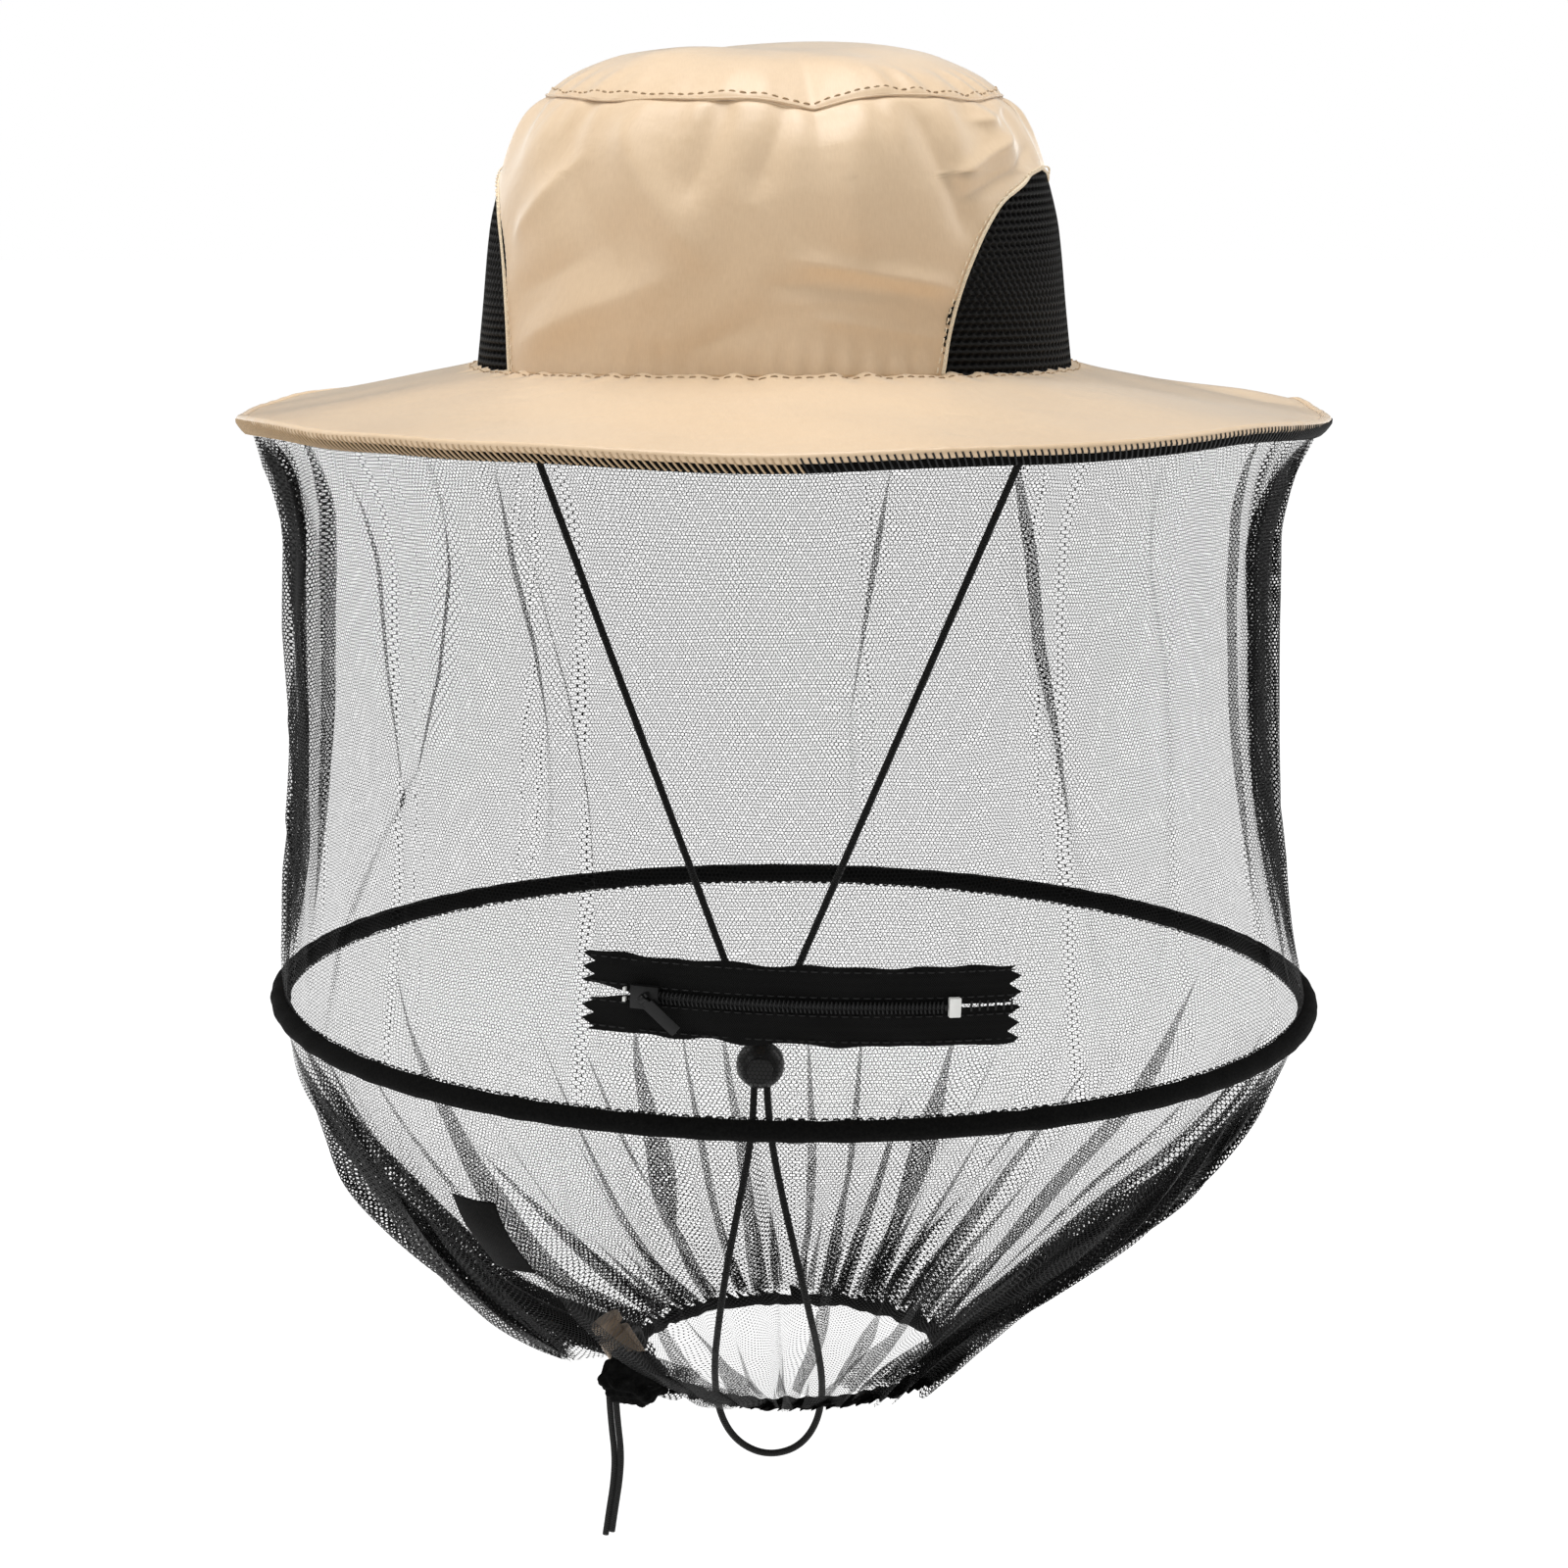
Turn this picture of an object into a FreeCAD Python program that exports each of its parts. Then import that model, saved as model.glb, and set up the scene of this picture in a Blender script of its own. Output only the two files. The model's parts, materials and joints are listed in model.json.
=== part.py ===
# Beekeeping hat and veil, built as a parametric FreeCAD document.
# Millimetres. +Z up, front of the veil towards -Y, origin at the centre of the head opening,
# at the seam between crown and brim.
import FreeCAD, Part
import Sketcher
import math
import os

V = FreeCAD.Vector
doc = FreeCAD.newDocument("BeekeepingVeil")

# ---------------------------------------------------------------- driving sizes
SIZES = [
    # hat
    ("cloth", 0.8), ("crown_turn", -13.5),
    ("crown_base_rad", 104.0), ("crown_low_rad", 100.0), ("crown_low_hgt", 20.0),
    ("crown_mid_rad", 97.0), ("crown_mid_hgt", 60.0), ("crown_up_rad", 91.0), ("crown_up_hgt", 75.0),
    ("crown_seam_rad", 86.2), ("crown_seam_hgt", 88.4), ("dome_hgt", 110.0),
    ("cheek_half", 72.8), ("cheek_hgt", 68.0), ("piping_wide", 2.4),
    ("band_rad", 96.9), ("band_thick", 1.4), ("band_low", -2.4), ("band_top", 25.0),
    ("brim_dx", 3.3), ("brim_in_rad", 98.6), ("brim_out_rad", 184.0), ("brim_drop", 16.6),
    ("skin_thick", 0.5), ("foam_thick", 1.6), ("layer_gap", 0.05),
    ("bind_rad", 186.1), ("bind_pipe", 1.9), ("bind_hgt", -18.0), ("brim_wire_pipe", 0.65),
    # veil
    ("net_dx", 5.1), ("veil_dx", 6.9), ("neck_dx", 5.2), ("net_thick", 0.6),
    ("hoop_rad", 182.0), ("hoop_hgt", -221.2), ("hoop_pipe", 3.6), ("hoop_bore", 1.6), ("hoop_wire_pipe", 1.1),
    ("neck_rad", 55.0), ("neck_hgt", -358.5), ("neck_pipe", 2.9), ("neck_bore", 1.5), ("draw_pipe", 1.25),
    # zip
    ("zip_rad", 182.0), ("zip_hgt", -181.0), ("zip_half", 12.5), ("zip_arc", 43.9), ("zip_mid", 0.65), ("zip_tilt", 2.2),
    ("tape_half", 0.3), ("tape_gap", 0.55), ("coil_high", 2.1), ("coil_thick", 1.65), ("chain_from", -16.2), ("chain_to", 14.6),
    ("slider_at", -14.6), ("stop_at", 15.5),
    # cords and locks
    ("chin_cord_dia", 2.6), ("neck_cord_dia", 2.0), ("anchor_rad", 95.9),
    ("lock_dx", -5.2), ("lock_hgt", -250.8), ("lock_ball_rad", 8.7), ("lock_cord_half", 2.1),
    ("lock_bore_rad", 4.7), ("lock_pin_rad", 4.62), ("lock_travel", 2.4),
    ("barrel_rad", 6.25), ("barrel_bore", 4.1), ("plunger_rad", 4.02), ("plunger_travel", 3.0),
]
sheet = doc.addObject("Spreadsheet::Sheet", "Sizes")
for i, (name, value) in enumerate(SIZES):
    sheet.set("A%d" % (i + 1), name)
    sheet.set("B%d" % (i + 1), "%g" % value)
    sheet.setAlias("B%d" % (i + 1), name)
doc.recompute()
S = dict((name, float(sheet.get(name))) for name, _ in SIZES)

PARTS = []          # objects that become STEP files


def keep(obj, label):
    obj.Label = label
    PARTS.append(obj)
    return obj


def num(expr):
    """The value of an expression in the sheet's aliases, used to draw a sketch before it is constrained."""
    text = str(expr).replace("Sizes.", "")
    total, sign, term = 0.0, 1.0, ""
    for piece in text.replace("-", " - ").replace("+", " + ").split():
        if piece == "+":
            sign = 1.0
        elif piece == "-":
            sign = -1.0
        else:
            value = 1.0
            for factor in piece.split("*"):
                value *= S[factor] if factor in S else float(factor)
            total += sign * value
            sign = 1.0
    return total


def bind(expr):
    """The expression with every alias addressed in the sheet."""
    out = []
    for piece in str(expr).replace("-", " - ").replace("+", " + ").split():
        out.append("*".join(("Sizes." + f) if f in S else f for f in piece.split("*")))
    return " ".join(out)


def draw(sk, pts):
    """A closed polygon whose corners are tied to the sheet."""
    n = len(pts)
    xy = [(num(a), num(b)) for a, b in pts]
    for i in range(n):
        j = (i + 1) % n
        sk.addGeometry(Part.LineSegment(V(xy[i][0], xy[i][1], 0), V(xy[j][0], xy[j][1], 0)))
    for i in range(n):
        sk.addConstraint(Sketcher.Constraint("Coincident", i, 2, (i + 1) % n, 1))
    for i in range(n):
        for kind, axis, k in (("DistanceX", -2, 0), ("DistanceY", -1, 1)):
            if abs(xy[i][k]) < 1e-9:
                sk.addConstraint(Sketcher.Constraint("PointOnObject", i, 1, axis))
            else:
                c = sk.addConstraint(Sketcher.Constraint(kind, -1, 1, i, 1, xy[i][k]))
                sk.setExpression("Constraints[%d]" % c, bind(pts[i][k]))


def place(obj, dx="0", dz="0", turn="0"):
    obj.setExpression("Placement.Base.x", bind(dx))
    obj.setExpression("Placement.Base.z", bind(dz))
    if turn != "0":
        obj.Placement.Rotation = FreeCAD.Rotation(V(0, 0, 1), num(turn))
        obj.setExpression("Placement.Rotation.Angle", bind(turn))


def revolved(label, pts, dx="0", turn="0", angle="360"):
    """A turned body: polygon in radius and height, about the vertical axis."""
    body = doc.addObject("PartDesign::Body", label + "_body")
    sk = body.newObject("Sketcher::SketchObject", label + "_profile")
    plane = [f for f in body.Origin.OriginFeatures if f.Role == "XZ_Plane"][0]
    sk.AttachmentSupport = [(plane, "")]
    sk.MapMode = "FlatFace"
    draw(sk, pts)
    rev = body.newObject("PartDesign::Revolution", label + "_turn")
    rev.Profile = sk
    rev.ReferenceAxis = (sk, ["V_Axis"])
    rev.Angle = num(angle)
    if angle != "360":
        rev.Midplane = True
        rev.setExpression("Angle", bind(angle))
    place(body, dx=dx, turn=turn)
    return keep(body, label)


def cut(label, base, tool, hold=True):
    c = doc.addObject("Part::Cut", label + "_cut")
    c.Base, c.Tool = base, tool
    return keep(c, label) if hold else c


def torus(name, ring, pipe, dx="0", dz="0", angle=None, turn="0"):
    t = doc.addObject("Part::Torus", name)
    t.setExpression("Radius1", bind(ring))
    t.setExpression("Radius2", bind(pipe))
    if angle is not None:
        t.Angle3 = angle
    place(t, dx=dx, dz=dz, turn=turn)
    return t


# ---------------------------------------------------------------- crown
revolved("crown_top_panel", [
    ("0", "dome_hgt"), ("30", "dome_hgt - 1.4"), ("55", "dome_hgt - 5.5"), ("75", "dome_hgt - 13"),
    ("crown_seam_rad - 1", "crown_seam_hgt + 1.2"), ("crown_seam_rad - 1.9", "crown_seam_hgt + 1.2"),
    ("74.4", "dome_hgt - 13.8"), ("54.7", "dome_hgt - 6.3"), ("29.8", "dome_hgt - 2.2"), ("0", "dome_hgt - 0.8")],
    turn="crown_turn")

WALL = [("crown_base_rad", "0.1"), ("crown_low_rad", "crown_low_hgt"), ("crown_mid_rad", "crown_mid_hgt"),
        ("crown_up_rad", "crown_up_hgt"), ("crown_seam_rad", "crown_seam_hgt")]


def wall(name, out, thick):
    """The crown's wall as a turned shell, raised by out and thick deep."""
    sk = doc.addObject("Sketcher::SketchObject", name + "_profile")
    sk.Placement = FreeCAD.Placement(V(0, 0, 0), FreeCAD.Rotation(V(1, 0, 0), 90))
    outer = [(r + " + " + str(out), z) for r, z in WALL]
    inner = [(r + " + " + str(out) + " - " + str(thick), z) for r, z in reversed(WALL)]
    draw(sk, outer + inner)
    rev = doc.addObject("Part::Revolution", name)
    rev.Source = sk
    rev.Axis = V(0, 0, 1)
    rev.Base = V(0, 0, 0)
    rev.Angle = 360
    rev.Solid = True
    return rev


ARCH = [(1.0, 0.0), (0.94, 0.16), (0.886, 0.33), (0.787, 0.58), (0.611, 0.82), (0.30, 0.96), (0.10, 0.995)]


def arch(name, side, grow=0.0):
    """A prism along X with the cheek's pointed-arch outline, on one side of the crown."""
    g = " + %g" % grow if grow else ""
    right = [("%g*cheek_half%s" % (a, g), "%g*cheek_hgt%s" % (b, g if b > 0.5 else "") if b > 0 else "-0.5")
             for a, b in ARCH]
    left = [("-%g*cheek_half%s" % (a, g.replace("+", "-")), z) for (a, b), (_, z) in zip(reversed(ARCH), reversed(right))]
    sk = doc.addObject("Sketcher::SketchObject", name + "_outline")
    sk.Placement = FreeCAD.Placement(V(0, 0, 0), FreeCAD.Rotation(V(1, 1, 1), 120))
    draw(sk, right + left)
    ex = doc.addObject("Part::Extrusion", name)
    ex.Base = sk
    ex.DirMode = "Custom"
    ex.Dir = V(1, 0, 0)
    ex.LengthFwd = 130 if side > 0 else 0
    ex.LengthRev = 0 if side > 0 else 130
    ex.Solid = True
    return ex


def common(label, a, b, hold=True):
    c = doc.addObject("Part::Common", label + "_common")
    c.Base, c.Tool = a, b
    if hold:
        place(c, turn="crown_turn")
        return keep(c, label)
    return c


def block(name, x, y, z, lx, ly, lz):
    b = doc.addObject("Part::Box", name)
    b.Length, b.Width, b.Height = lx, ly, lz
    b.Placement.Base = V(x, y, z)
    return b


shell = wall("crown_wall", 0, "cloth")
opened = cut("crown_wall_left_open", shell, arch("cheek_left_cut", -1, 0.25), hold=False)
opened = cut("crown_wall_open", opened, arch("cheek_right_cut", 1, 0.25), hold=False)
common("crown_front_panel", opened, block("front_half", -150, -150, -5, 300, 149.9, 130))
common("crown_rear_panel", opened, block("rear_half", -150, 0.1, -5, 300, 150, 130))
common("side_mesh_left", wall("left_mesh_wall", -0.05, 1.0), arch("left_mesh_arch", -1))
common("side_mesh_right", wall("right_mesh_wall", -0.05, 1.0), arch("right_mesh_arch", 1))
for side, word in ((-1, "left"), (1, "right")):
    ring = cut(word + "_piping_ring", arch(word + "_piping_out", side, S["piping_wide"]),
               arch(word + "_piping_in", side, 0.1), hold=False)
    common("panel_piping_" + word, wall(word + "_piping_wall", 1.05, 1.0), ring)

keep(torus("crown_top_piping_ring", "crown_seam_rad + 1", "0.8", dz="crown_seam_hgt + 0.6"), "crown_top_piping")
revolved("sweatband", [("band_rad", "band_low"), ("band_rad + band_thick", "band_low"),
                       ("band_rad + band_thick", "band_top"), ("band_rad", "band_top")])


# ---------------------------------------------------------------- brim
def brim_layer(label, top, thick):
    """A flat-cone ring between the head opening and the bound edge; the edge's centre is a little aside."""
    levels = []
    for k, depth in ((0, top), (1, top + thick)):
        rings = []
        for word, rad, dx, z in (("in", "brim_in_rad", "0", "-%g" % depth if depth else "0"),
                                 ("out", "brim_out_rad", "brim_dx", "-brim_drop - %g" % depth)):
            c = doc.addObject("Part::Circle", "%s_%s_%d" % (label, word, k))
            c.setExpression("Radius", bind(rad))
            c.setExpression("Placement.Base.x", bind(dx))
            c.setExpression("Placement.Base.z", bind(z))
            rings.append(c)
        loft = doc.addObject("Part::Loft", "%s_loft_%d" % (label, k))
        loft.Sections = rings
        loft.Solid = True
        loft.Ruled = True
        levels.append(loft)
    sheet_solid = cut(label + "_sheet", levels[0], levels[1], hold=False)
    hole = doc.addObject("Part::Cylinder", label + "_hole")
    hole.setExpression("Radius", bind("brim_in_rad"))
    hole.Height = 30
    hole.Placement.Base = V(0, 0, -15)
    rim = doc.addObject("Part::Cylinder", label + "_rim")
    rim.setExpression("Radius", bind("brim_out_rad - 0.4"))
    rim.Height = 60
    rim.setExpression("Placement.Base.x", bind("brim_dx"))
    rim.Placement.Base.z = -40
    trimmed = doc.addObject("Part::Common", label + "_trim")
    trimmed.Base, trimmed.Tool = sheet_solid, rim
    return cut(label, trimmed, hole)


brim_layer("brim_top_cloth", 0.0, S["skin_thick"])
brim_layer("brim_foam", S["skin_thick"] + S["layer_gap"], S["foam_thick"])
brim_layer("brim_under_cloth", S["skin_thick"] + S["foam_thick"] + 2 * S["layer_gap"], S["skin_thick"])
cut("brim_binding", torus("binding_outer", "bind_rad", "bind_pipe", dx="brim_dx", dz="bind_hgt"),
    torus("binding_bore", "bind_rad", "brim_wire_pipe + 0.1", dx="brim_dx", dz="bind_hgt"))
keep(torus("brim_wire_ring", "bind_rad", "brim_wire_pipe", dx="brim_dx", dz="bind_hgt"), "brim_wire")
revolved("overlock_seam", [("184.4", "-23.6"), ("186.4", "-23.6"), ("186.4", "-20.3"), ("184.4", "-20.3")], dx="brim_dx")

# ---------------------------------------------------------------- veil
UP = [("182.4", "-20.6"), ("176.5", "-25"), ("171.5", "-34"), ("172.5", "-120"), ("175.5", "-165"), ("178.2", "-192"),
      ("181.0", "-217.2")]
revolved("veil_net_upper", UP + [(r + " - net_thick", z) for r, z in reversed(UP)], dx="net_dx")

LOW = [("181.4", "-225.2"), ("177", "-245"), ("165", "-266"), ("150.5", "-283"), ("124", "-310.5"), ("98", "-334.5"),
       ("76", "-349"), ("60.8", "-358.6")]
low_sk = doc.addObject("Sketcher::SketchObject", "net_lower_profile")
low_sk.Placement = FreeCAD.Placement(V(0, 0, 0), FreeCAD.Rotation(V(1, 0, 0), 90))
draw(low_sk, LOW + [(r + " - 0.7*net_thick", z + " + 0.7*net_thick") for r, z in reversed(LOW)])
low_rev = doc.addObject("Part::Revolution", "net_lower_turn")
low_rev.Source, low_rev.Axis, low_rev.Base, low_rev.Angle, low_rev.Solid = low_sk, V(0, 0, 1), V(0, 0, 0), 360, True
place(low_rev, dx="veil_dx")
# the slit where the drawcord's tails come out through the gathers
cut("veil_net_lower", low_rev, block("net_slit", -74, -62, -370, 36, 44, 42))

cut("hoop_sleeve", torus("sleeve_outer", "hoop_rad", "hoop_pipe", dx="veil_dx", dz="hoop_hgt"),
    torus("sleeve_bore", "hoop_rad", "hoop_bore", dx="veil_dx", dz="hoop_hgt"))
keep(torus("hoop_wire_ring", "hoop_rad", "hoop_wire_pipe", dx="veil_dx", dz="hoop_hgt", angle=359.8, turn="90.1"), "hoop_wire")
cut("hoop_ferrule", torus("ferrule_outer", "hoop_rad", "hoop_bore - 0.08", dx="veil_dx", dz="hoop_hgt", angle=8, turn="86"),
    torus("ferrule_bore", "hoop_rad", "hoop_wire_pipe + 0.05", dx="veil_dx", dz="hoop_hgt", angle=12, turn="84"))

cut("neck_hem", torus("hem_outer", "neck_rad", "neck_pipe", dx="neck_dx", dz="neck_hgt"),
    torus("hem_bore", "neck_rad", "neck_bore", dx="neck_dx", dz="neck_hgt"))
keep(torus("neck_drawcord_ring", "neck_rad", "draw_pipe", dx="neck_dx", dz="neck_hgt", angle=356, turn="199"), "neck_drawcord")

# care patch: a blank folded patch of black cloth sewn on the lower net
revolved("care_patch", [("175.8", "-255"), ("160.6", "-282.5"), ("161.3", "-282.9"), ("176.5", "-255.4")],
         dx="veil_dx", turn="-125.2", angle="5.8")

# ---------------------------------------------------------------- zip
def tilted(body, turn):
    """Puts a turned zip piece, drawn about z = 0, on the veil at that turn, with the whole zip sloping down to the right."""
    body.setExpression("Placement.Rotation.Angle", None)
    body.Placement = FreeCAD.Placement(V(S["veil_dx"], 0, S["zip_hgt"]), TILT.multiply(FreeCAD.Rotation(V(0, 0, 1), num(turn))))
    body.setExpression("Placement.Base.x", bind("veil_dx"))
    body.setExpression("Placement.Base.z", bind("zip_hgt"))


TILT = FreeCAD.Rotation(V(0, 1, 0), S["zip_tilt"])
ZIPTURN = "-90 + zip_mid"
for word, sign in (("upper", ""), ("lower", "-")):
    tilted(revolved("zip_tape_" + word, [
        ("zip_rad - tape_half", sign + "tape_gap"), ("zip_rad + tape_half", sign + "tape_gap"),
        ("zip_rad + tape_half", sign + "zip_half"), ("zip_rad - tape_half", sign + "zip_half")],
        angle="zip_arc"), ZIPTURN)
COILTURN = "-90 + 0.5*chain_from + 0.5*chain_to"
for word, sign in (("upper", ""), ("lower", "-")):
    tilted(revolved("zip_coil_" + word, [
        ("zip_rad + tape_half + 0.05", sign + "0.6"),
        ("zip_rad + tape_half + 0.05 + coil_thick", sign + "0.6"),
        ("zip_rad + tape_half + 0.05 + coil_thick", sign + "coil_high"),
        ("zip_rad + tape_half + 0.05", sign + "coil_high")],
        angle="chain_to - chain_from"), COILTURN)


def on_zip(angle):
    """Placement of a small piece's own frame on the tape: X along the chain, Z up, -Y outwards."""
    turn = FreeCAD.Placement(V(S["veil_dx"], 0, S["zip_hgt"]), TILT.multiply(FreeCAD.Rotation(V(0, 0, 1), angle)))
    return turn.multiply(FreeCAD.Placement(V(0, -S["zip_rad"], 0), FreeCAD.Rotation()))


def fused(name, pieces, label=None, placement=None):
    f = doc.addObject("Part::MultiFuse", name)
    f.Shapes = pieces
    if placement is not None:
        f.Placement = placement
    return keep(f, label) if label else f


DROOP = 39.0                                     # the pull hangs down to the right at this slope
ALONG = FreeCAD.Rotation(V(0, 1, 0), DROOP)      # turns +X down to the pull's direction
PIN_Y = -5.0

slider_parts = [
    block("slider_top", -4.4, -3.4, -3.6, 8.8, 1.1, 7.2),
    block("slider_back", -4.4, 0.6, -3.6, 8.8, 0.9, 7.2),
    block("slider_web", -4.4, -2.4, -0.35, 1.5, 3.1, 0.7),
    block("slider_lip_up", -4.4, -2.4, 2.6, 8.8, 1.6, 1.0),
    block("slider_lip_down", -4.4, -2.4, -3.6, 8.8, 1.6, 1.0),
]
for i, z in enumerate((1.35, -2.15)):
    post = block("slider_post_%d" % i, 0, 0, 0, 1.2, 2.3, 0.8)
    post.Placement = FreeCAD.Placement(V(0, PIN_Y - 0.55, 0), ALONG).multiply(FreeCAD.Placement(V(-0.6, 0, z), FreeCAD.Rotation()))
    slider_parts.append(post)
pin = doc.addObject("Part::Cylinder", "slider_pin")
pin.Radius, pin.Height = 0.5, 3.6
pin.Placement = FreeCAD.Placement(V(0, PIN_Y, 0), ALONG).multiply(FreeCAD.Placement(V(0, 0, -1.8), FreeCAD.Rotation()))
slider_parts.append(pin)
fused("zip_slider_fuse", slider_parts, "zip_slider", on_zip(S["slider_at"]))

eye = doc.addObject("Part::Cylinder", "pull_eye")
eye.Radius, eye.Height = 1.35, 2.2
eye.Placement.Base = V(0, PIN_Y, -1.1)
neck = block("pull_neck", 0.6, PIN_Y - 0.5, -1.1, 2.4, 1.0, 2.2)
blade = block("pull_blade", 2.2, PIN_Y - 0.5, -1.95, 12.3, 1.0, 3.9)
pull = fused("pull_fuse", [eye, neck, blade])
eye_hole = doc.addObject("Part::Cylinder", "pull_eye_hole")
eye_hole.Radius, eye_hole.Height = 0.57, 6
eye_hole.Placement.Base = V(0, PIN_Y, -3)
pull_cut = cut("zip_pull", pull, eye_hole)
pull_cut.Placement = on_zip(S["slider_at"]).multiply(FreeCAD.Placement(V(0, 0, 0), ALONG))

stop = block("bottom_stop_box", -1.9, -2.6, -3.1, 3.8, 2.2, 6.2)
stop.Placement = on_zip(S["stop_at"]).multiply(stop.Placement)
keep(stop, "zip_bottom_stop")
tops = []
for i, z in enumerate((0.8, -2.3)):
    b = block("top_stop_box_%d" % i, -0.5, -2.0, z, 1.0, 1.6, 1.5)
    b.Placement = on_zip(-16.75).multiply(b.Placement)
    tops.append(b)
group = doc.addObject("Part::Compound", "top_stop_group")
group.Links = tops
keep(group, "zip_top_stops")
stitches = []
for i in range(6):
    b = block("end_stitch_%d" % i, -0.35, -0.95, -1.7, 0.7, 0.55, 3.4)
    b.Placement = on_zip(17.3 + 0.85 * i).multiply(b.Placement)
    stitches.append(b)
group = doc.addObject("Part::Compound", "end_stitch_group")
group.Links = stitches
keep(group, "zip_end_stitches")


# ---------------------------------------------------------------- cords
def cord(label, route, dia, folds=()):
    """A round cord along straight runs joined by tangent arcs. Its bend radii are printed."""
    pts = [V(*p) for p in route]
    edges, radii, start = [], [], pts[0]
    for i in range(1, len(pts) - 1):
        a, b, c = pts[i - 1], pts[i], pts[i + 1]
        u, w = (b - a).normalize(), (c - b).normalize()
        turn = u.getAngle(w)
        shorter = min((b - a).Length, (c - b).Length)
        rad = 0.45 * shorter / math.tan(turn / 2)
        back = rad * math.tan(turn / 2)
        p, q = b - u * back, b + w * back
        side = (w - u).normalize()
        mid = b + side * (rad / math.cos(turn / 2) - rad)
        edges.append(Part.LineSegment(start, p).toShape())
        edges.append(Part.Arc(p, mid, q).toShape())
        radii.append(rad)
        start = q
    edges.append(Part.LineSegment(start, pts[-1]).toShape())
    path = Part.Wire(edges)
    first = (pts[1] - pts[0]).normalize()
    ring = Part.Wire([Part.Circle(pts[0], first, dia / 2).toShape()])
    solid = path.makePipeShell([ring], True, False)
    want = math.pi * dia ** 2 / 4 * path.Length
    print("%s: length %.1f mm, least bend radius %.1f mm, radii %s, volume ratio %.4f" % (
        label, path.Length, min(radii) if radii else 0, [round(r, 1) for r in radii], solid.Volume / want))
    f = doc.addObject("Part::Feature", label + "_pipe")
    f.Shape = solid
    f.Placement = FreeCAD.Placement()
    return keep(f, label)


turn = FreeCAD.Rotation(V(0, 0, 1), S["crown_turn"])
anchor_l = turn.multVec(V(-S["anchor_rad"], 0, -8.9))
anchor_r = turn.multVec(V(S["anchor_rad"], 0, -8.9))
for word, side in (("left", -1), ("right", 1)):
    b = block("chin_anchor_" + word + "_loop", -0.6, -4.5, -7, 1.2, 9, 16)
    b.Placement = FreeCAD.Placement(V(0, 0, 0), turn).multiply(FreeCAD.Placement(V(side * S["anchor_rad"] - 0.6, -4.5, -7), FreeCAD.Rotation()))
    keep(b, "chin_anchor_" + word)
LX, LZ, LH = S["lock_dx"], S["lock_hgt"], S["lock_cord_half"]
top = LZ + 9.6


def strand(label, a, b):
    """A taut strand: one straight cord."""
    c = doc.addObject("Part::Cylinder", label + "_rod")
    c.setExpression("Radius", "Sizes.chin_cord_dia / 2")
    c.Height = (b - a).Length
    c.Placement = FreeCAD.Placement(a, FreeCAD.Rotation(V(0, 0, 1), b - a))
    print("%s: length %.1f mm, straight" % (label, (b - a).Length))
    return keep(c, label)


strand("chin_cord_left", V(*anchor_l), V(LX - LH - 0.15, 0, top))
strand("chin_cord_right", V(*anchor_r), V(LX + LH + 0.15, 0, top))
CHIN_LOOP = [
    (-7.3, 0, -242.6), (-7.2, 0.2, -258), (-8.6, 0.3, -280), (-12.9, 0.5, -303), (-17.5, 0.6, -327), (-20.8, 0.4, -350),
    (-22.4, 0, -367), (-20.6, 0, -383), (-14.4, 0, -394), (-3.8, 0, -399.5), (7.6, 0, -397.2), (15.0, 0, -388.5),
    (17.7, 0, -375), (16.1, 0, -360), (12.2, -0.2, -343), (7.3, -0.4, -321), (2.6, -0.4, -300), (-1.4, -0.2, -279),
    (-3.1, 0, -259), (-3.1, 0.1, -242.6)]
cord("chin_cord_loop", CHIN_LOOP, S["chin_cord_dia"])

# neck drawcord tails: out of the hem, through the barrel lock, out of the slit and down
TAIL = [(-48.5, -12, -354.5), (-49.9, -10.6, -347.5), (-52.5, -19, -344.3), (-56.6, -45.5, -346.7), (-57.2, -51.0, -354),
        (-56.4, -50.6, -367), (-55.2, -50.2, -379), (-55.8, -50.4, -389), (-57.4, -50.2, -399), (-58.8, -50.4, -408.5)]
UNIT = (V(*TAIL[3]) - V(*TAIL[2])).normalize()
LEAN = V(-0.515, 0, 0.857)
LEAN = (LEAN - UNIT * LEAN.dot(UNIT)).normalize()
ACROSS = UNIT.cross(LEAN).normalize()
OFF = ACROSS * 1.35
cord("neck_cord_tail_a", [tuple(V(*p) - OFF) for p in TAIL], S["neck_cord_dia"])
cord("neck_cord_tail_b", [tuple(V(*p) + OFF) for p in TAIL], S["neck_cord_dia"])
tab = block("cord_tab_box", -64, -57.2, -359.5, 19, 2.4, 20.5)
tab_round = doc.addObject("Part::Fillet", "cord_tab_round")
tab_round.Base = tab
doc.recompute()
tab_round.Edges = [(i + 1, 5.0, 5.0) for i, e in enumerate(tab.Shape.Edges)
                   if abs(e.tangentAt(e.FirstParameter).y) > 0.9]
keep(tab_round, "neck_cord_tab")


# ---------------------------------------------------------------- barrel lock on the neck cord
def cyl(name, rad, low, high, axis="z"):
    c = doc.addObject("Part::Cylinder", name)
    c.setExpression("Radius", bind(rad))
    c.Height = high - low
    if axis == "z":
        c.Placement.Base = V(0, 0, low)
    else:
        c.Placement = FreeCAD.Placement(V(0, low, 0), FreeCAD.Rotation(V(1, 0, 0), -90))
    return c


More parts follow.
